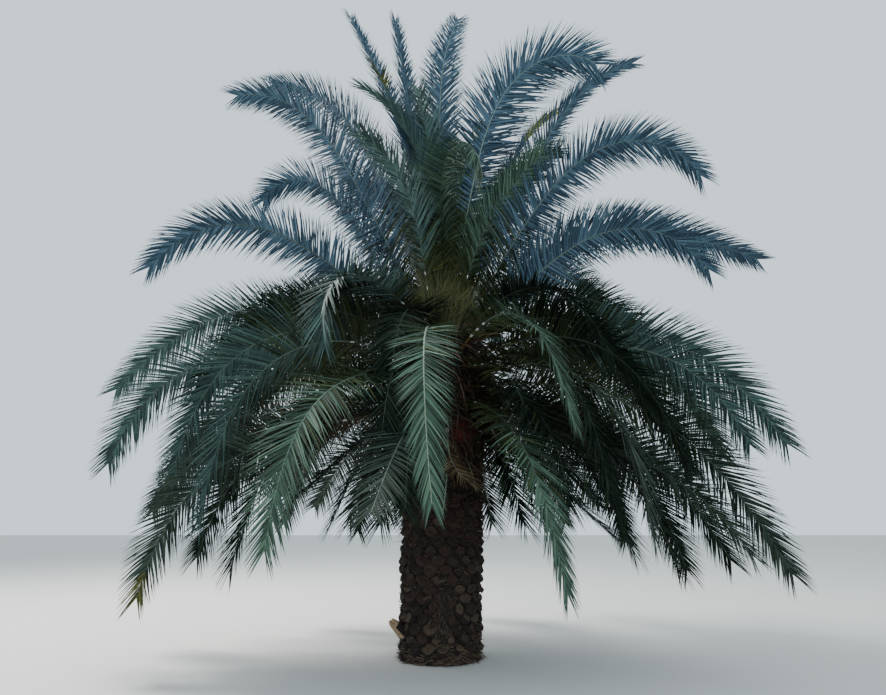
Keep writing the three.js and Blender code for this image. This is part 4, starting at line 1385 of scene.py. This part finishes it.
def zone(low, high, soft=0.08):
    """1 between two heights, fading out beyond them."""
    return smooth((core_height - low + soft) / soft) * (1 - smooth((core_height - high) / soft))


def mark_fibres(mesh, amount, slant, spread):
    """Tells the fibre tree how many fibres to strew at each point, and how they lie there."""
    for key, values in (("fibre", amount), ("slant", slant), ("spread", spread)):
        write_attribute(mesh, key, np.ones(len(mesh.vertices)) * values)
    return mesh


FIBRE_ZONES = {
    "ground_fibres": dict(
        amount=zone(0, RING_HEIGHT), slant=LEVEL, spread=0.55, shades=FIBRE_SHADES,
        density=2000.0, shortest=0.05, longest=0.22, lift=0.55, sag=0.45, width=0.006, seed=21,
    ),
    "rooty_fibres": dict(
        amount=rooty, slant=-UPRIGHT, spread=0.9, shades=ROOT_SHADES,
        density=2200.0, shortest=0.04, longest=0.12, lift=0.35, sag=0.10, width=0.005, seed=22,
    ),
    "trunk_fibres": dict(
        amount=zone(0.1, 2.6) * (1 - rooty), slant=-0.5, spread=1.4, shades=FIBRE_SHADES,
        density=420.0, shortest=0.04, longest=0.13, lift=0.9, sag=0.25, seed=23,
    ),
    "trunk_flakes": dict(
        amount=zone(0.1, 2.9) * (1 - 0.7 * rooty), slant=0.9, spread=1.3, shades=FLAKE_SHADES,
        density=420.0, shortest=0.04, longest=0.10, lift=1.5, sag=0.15, width=0.016, seed=27,
    ),
    "red_fibres": dict(
        amount=zone(1.45, 2.75, 0.25), slant=LEVEL, spread=0.45, shades=RED_FIBRE_SHADES,
        density=800.0, shortest=0.08, longest=0.24, lift=0.7, sag=0.3, width=0.005, seed=24,
    ),
    "dry_fibres": dict(
        amount=zone(2.4, 3.4, 0.2), slant=-UPRIGHT, spread=0.8, shades=FIBRE_SHADES,
        density=420.0, shortest=0.15, longest=0.55, lift=0.75, sag=0.45, width=0.006, seed=25,
    ),
    "sheath_fibres": dict(
        amount=zone(2.8, 4.0, 0.2), slant=UPRIGHT, spread=0.9, shades=SHEATH_SHADES,
        density=1300.0, shortest=0.15, longest=0.42, lift=1.8, sag=0.1, width=0.009, seed=28,
    ),
    "dead_leaflets": dict(
        amount=zone(2.8, 3.9, 0.2), slant=-0.6, spread=1.2, shades=DEAD_SHADES,
        density=420.0, shortest=0.30, longest=0.85, lift=2.4, sag=0.45, width=0.018, seed=33,
    ),
    "ochre_fibres": dict(
        amount=zone(3.7, 4.15, 0.15), slant=UPRIGHT, spread=0.5, shades=OCHRE_FIBRE_SHADES,
        density=1200.0, shortest=0.15, longest=0.40, lift=0.5, sag=0.05, width=0.007, seed=26,
    ),
    "crown_fibres": dict(
        amount=zone(3.85, 4.6, 0.2), slant=UPRIGHT, spread=0.9, shades=OLIVE_FIBRE_SHADES,
        density=3600.0, shortest=0.20, longest=0.62, lift=1.5, sag=0.05, width=0.008, seed=29,
    ),
}
for name, given in FIBRE_ZONES.items():
    lie = {key: given.pop(key) for key in ("amount", "slant", "spread")}
    guide = mark_fibres(core_shape.copy(), **lie)
    guide.name = name + "_guide"
    tree = fibre_tree(name, fibre_materials(name, given.pop("shades")))
    piece = grow(name, guide, tree, shape=fibre_shape, **given)
    place(piece, ["trunk"], "bark")
    print(name, triangle_count(piece), "triangles")

# %% [markdown]
# The bunch of spent fruit strands is a ball of reddish stalklets that spread from the end of
# one short stalk. The fibre tree strews them over a small ball, nearly upright on it.

# %% The fruit bunch
BUNCH_CENTRE = (0.275, -0.615, 2.628)
BUNCH_CORE_RADIUS = 0.07
BUNCH_SPREAD = 3.1
BUNCH_SHADES = ((118, 46, 38), (86, 34, 30), (56, 25, 23))
STALK = {
    "name": "fruit_stalk", "azimuth": -68, "seat": 2.760, "rise": 12, "drop": 80, "bend": 0.5,
    "length": 0.330, "roll": 0, "sway": 0, "petiole": 0.040,
}


def ball_mesh(centre, radius):
    shape = bmesh.new()
    bmesh.ops.create_icosphere(shape, subdivisions=3, radius=radius)
    mesh = bpy.data.meshes.new("bunch_guide")
    shape.to_mesh(mesh)
    shape.free()
    mesh.transform(Matrix.Translation(centre))
    return mesh


bunch_guide = mark_fibres(ball_mesh(BUNCH_CENTRE, BUNCH_CORE_RADIUS), 1.0, 0.0, BUNCH_SPREAD)
bunch_tree = fibre_tree("fruit strands", fibre_materials("bunch", BUNCH_SHADES))
bunch = grow(
    "fruit_strands", bunch_guide, bunch_tree, shape=fibre_shape,
    density=6000.0, shortest=0.06, longest=0.13, width=0.008, lift=3.0, sag=0.3, seed=31,
)
place(bunch, ["fruit_bunch"], "fruit")
STALK["frames"] = rib_frames(STALK)
stalk_strand = rib_strand(STALK)
stalk_strand["shade"][:] = RIB_TONES.index("ochre")
stalk = grow("fruit_stalk", guide_mesh("fruit_stalk_guide", [stalk_strand]), ribs)
place(stalk, ["fruit_bunch"], "fruit")
print("fruit bunch", triangle_count(bunch) + triangle_count(stalk), "triangles")

# %% [markdown]
# Low on the viewer's left one base was broken off rather than cut: a thick splintered stub
# that leans out and up, its torn edge and underside pale. Two dry stalks hang before the trunk.

# %% The broken base and the dry stalks
BROKEN_AZIMUTH = math.radians(-162)
BROKEN_HEIGHT = 0.27
BROKEN_REACH = 0.245
BROKEN_SEAT = -0.03
BROKEN_LEAN = 0.75
BROKEN_HALF_WIDTH = 0.085
BROKEN_HALF_DEPTH = 0.072
BROKEN_SIDES = 16
# How far out each ring lies and how large it is: past the last but one it turns back inwards
BROKEN_RINGS = (
    (0.0, 1.0), (0.35, 0.95), (0.7, 0.80), (0.93, 0.66), (1.0, 0.48), (0.90, 0.30),
)
FIRST_TORN_RING = 2
TORN_SIDES = (11, 12, 13, 14)
TORN_EDGE = 0.85
TEAR = 0.016


def broken_base_mesh():
    """A slab that narrows outwards, with a ragged outer edge."""
    flat = np.array([math.cos(BROKEN_AZIMUTH), math.sin(BROKEN_AZIMUTH), 0])
    aside = np.array([-flat[1], flat[0], 0])
    out = flat * math.cos(BROKEN_LEAN) + np.array([0, 0, math.sin(BROKEN_LEAN)])
    rise = np.cross(out, aside)
    root = trunk_point(BROKEN_HEIGHT, BROKEN_AZIMUTH, BROKEN_SEAT)
    ragged = np.random.default_rng(5)
    points = []
    faces = []
    cut = []
    for out_share, size in BROKEN_RINGS:
        for k in range(BROKEN_SIDES):
            turn = 2 * math.pi * k / BROKEN_SIDES
            tear = ragged.uniform(-TEAR, TEAR) if out_share > TORN_EDGE else 0
            points.append(
                root + out * (out_share * BROKEN_REACH + tear)
                + aside * math.cos(turn) * BROKEN_HALF_WIDTH * size
                + rise * math.sin(turn) * BROKEN_HALF_DEPTH * size
            )
    for ring in range(len(BROKEN_RINGS) - 1):
        for k in range(BROKEN_SIDES):
            a = ring * BROKEN_SIDES + k
            b = ring * BROKEN_SIDES + (k + 1) % BROKEN_SIDES
            faces.append((a, b, b + BROKEN_SIDES, a + BROKEN_SIDES))
            cut.append(1 if ring >= FIRST_TORN_RING or k in TORN_SIDES else 0)
    last = (len(BROKEN_RINGS) - 1) * BROKEN_SIDES
    faces.append(tuple(range(last, last + BROKEN_SIDES)))
    cut.append(1)
    mesh = mesh_of("broken_base", points, faces)
    mesh.materials.append(stump_materials[0])
    mesh.materials.append(stump_material("torn_wood", ((96, 74, 52), (196, 172, 134)), 60.0))
    for face, index in zip(mesh.polygons, cut):
        face.material_index = index
    return mesh


broken_base = add_object("broken_base", broken_base_mesh())
place(broken_base, ["trunk"], "bark")

STALK_STEPS = 24
STALK_TAPER = 0.6
# The start, the middle, the end and the width of each
DRY_STALKS = (
    ((0.080, -0.480, 2.120), (0.075, -0.600, 1.950), (0.030, -0.590, 1.650), 0.016),
    ((0.300, -0.400, 2.300), (0.360, -0.620, 2.250), (0.420, -0.640, 1.900), 0.013),
)


def dry_stalk(start, middle, end, width):
    """A strand for the rib tree along a soft curve that three points shape."""
    t = np.linspace(0, 1, STALK_STEPS)[:, None]
    start, middle, end = (np.array(p) for p in (start, middle, end))
    return {
        "point": (1 - t) ** 2 * start + 2 * t * (1 - t) * middle + t**2 * end,
        "top": np.tile([0.0, -1.0, 0.0], (STALK_STEPS, 1)),
        "width": width * (1 - STALK_TAPER * t[:, 0]),
        "shade": np.full(STALK_STEPS, float(RIB_TONES.index("pale"))),
    }


stalk_guide = guide_mesh("dry_stalks_guide", [dry_stalk(*row) for row in DRY_STALKS])
stalks = grow("dry_stalks", stalk_guide, ribs)
place(stalks, ["trunk"], "bark")
print("broken base", triangle_count(broken_base), "dry stalks", triangle_count(stalks), "triangles")

# %% [markdown]
# The studio is plain: a pale floor, a pale sky all round and soft lamps, the main one above
# and behind on the left, where the light comes from in the picture.

# %% Floor, sky and lamps
FLOOR_SIZE = 120.0
SKY_COLOUR = (214, 228, 236)
SKY_STRENGTH = 1.5
# The place, the aim, the size, the watts and the screen colour of each lamp
LAMPS = {
    "key": ((-9, 4, 15), (0, 0, 5), 5, 5600, (255, 251, 246)),
    "fill": ((3, -13, 8), (0, 0, 4), 6, 420, (232, 240, 255)),
}

floor_half = FLOOR_SIZE / 2
floor_corners = [(x * floor_half, y * floor_half, 0) for x, y in ((-1, -1), (1, -1), (1, 1), (-1, 1))]
floor = add_object("floor", mesh_of("floor", floor_corners, [(0, 1, 2, 3)]))
floor.data.materials.append(Finish("floor", (200, 200, 196), 0.9).material)

world = bpy.data.worlds.new("pale_sky")
world.use_nodes = True
backdrop = world.node_tree.nodes["Background"]
backdrop.inputs["Color"].default_value = (*linear(*SKY_COLOUR), 1)
backdrop.inputs["Strength"].default_value = SKY_STRENGTH
bpy.context.scene.world = world


def soft_lamp(name, position, aim, size, watts, colour):
    """A square area lamp that looks at a point."""
    data = bpy.data.lights.new(name, "AREA")
    data.size = size
    data.energy = watts
    data.color = linear(*colour)
    lamp = bpy.data.objects.new(name, data)
    lamp.location = position
    lamp.rotation_euler = (Vector(aim) - Vector(position)).to_track_quat("-Z", "Y").to_euler()
    bpy.context.scene.collection.objects.link(lamp)


for name, settings in LAMPS.items():
    soft_lamp(name, *settings)
print("floor, sky and", len(LAMPS), "lamps are set")
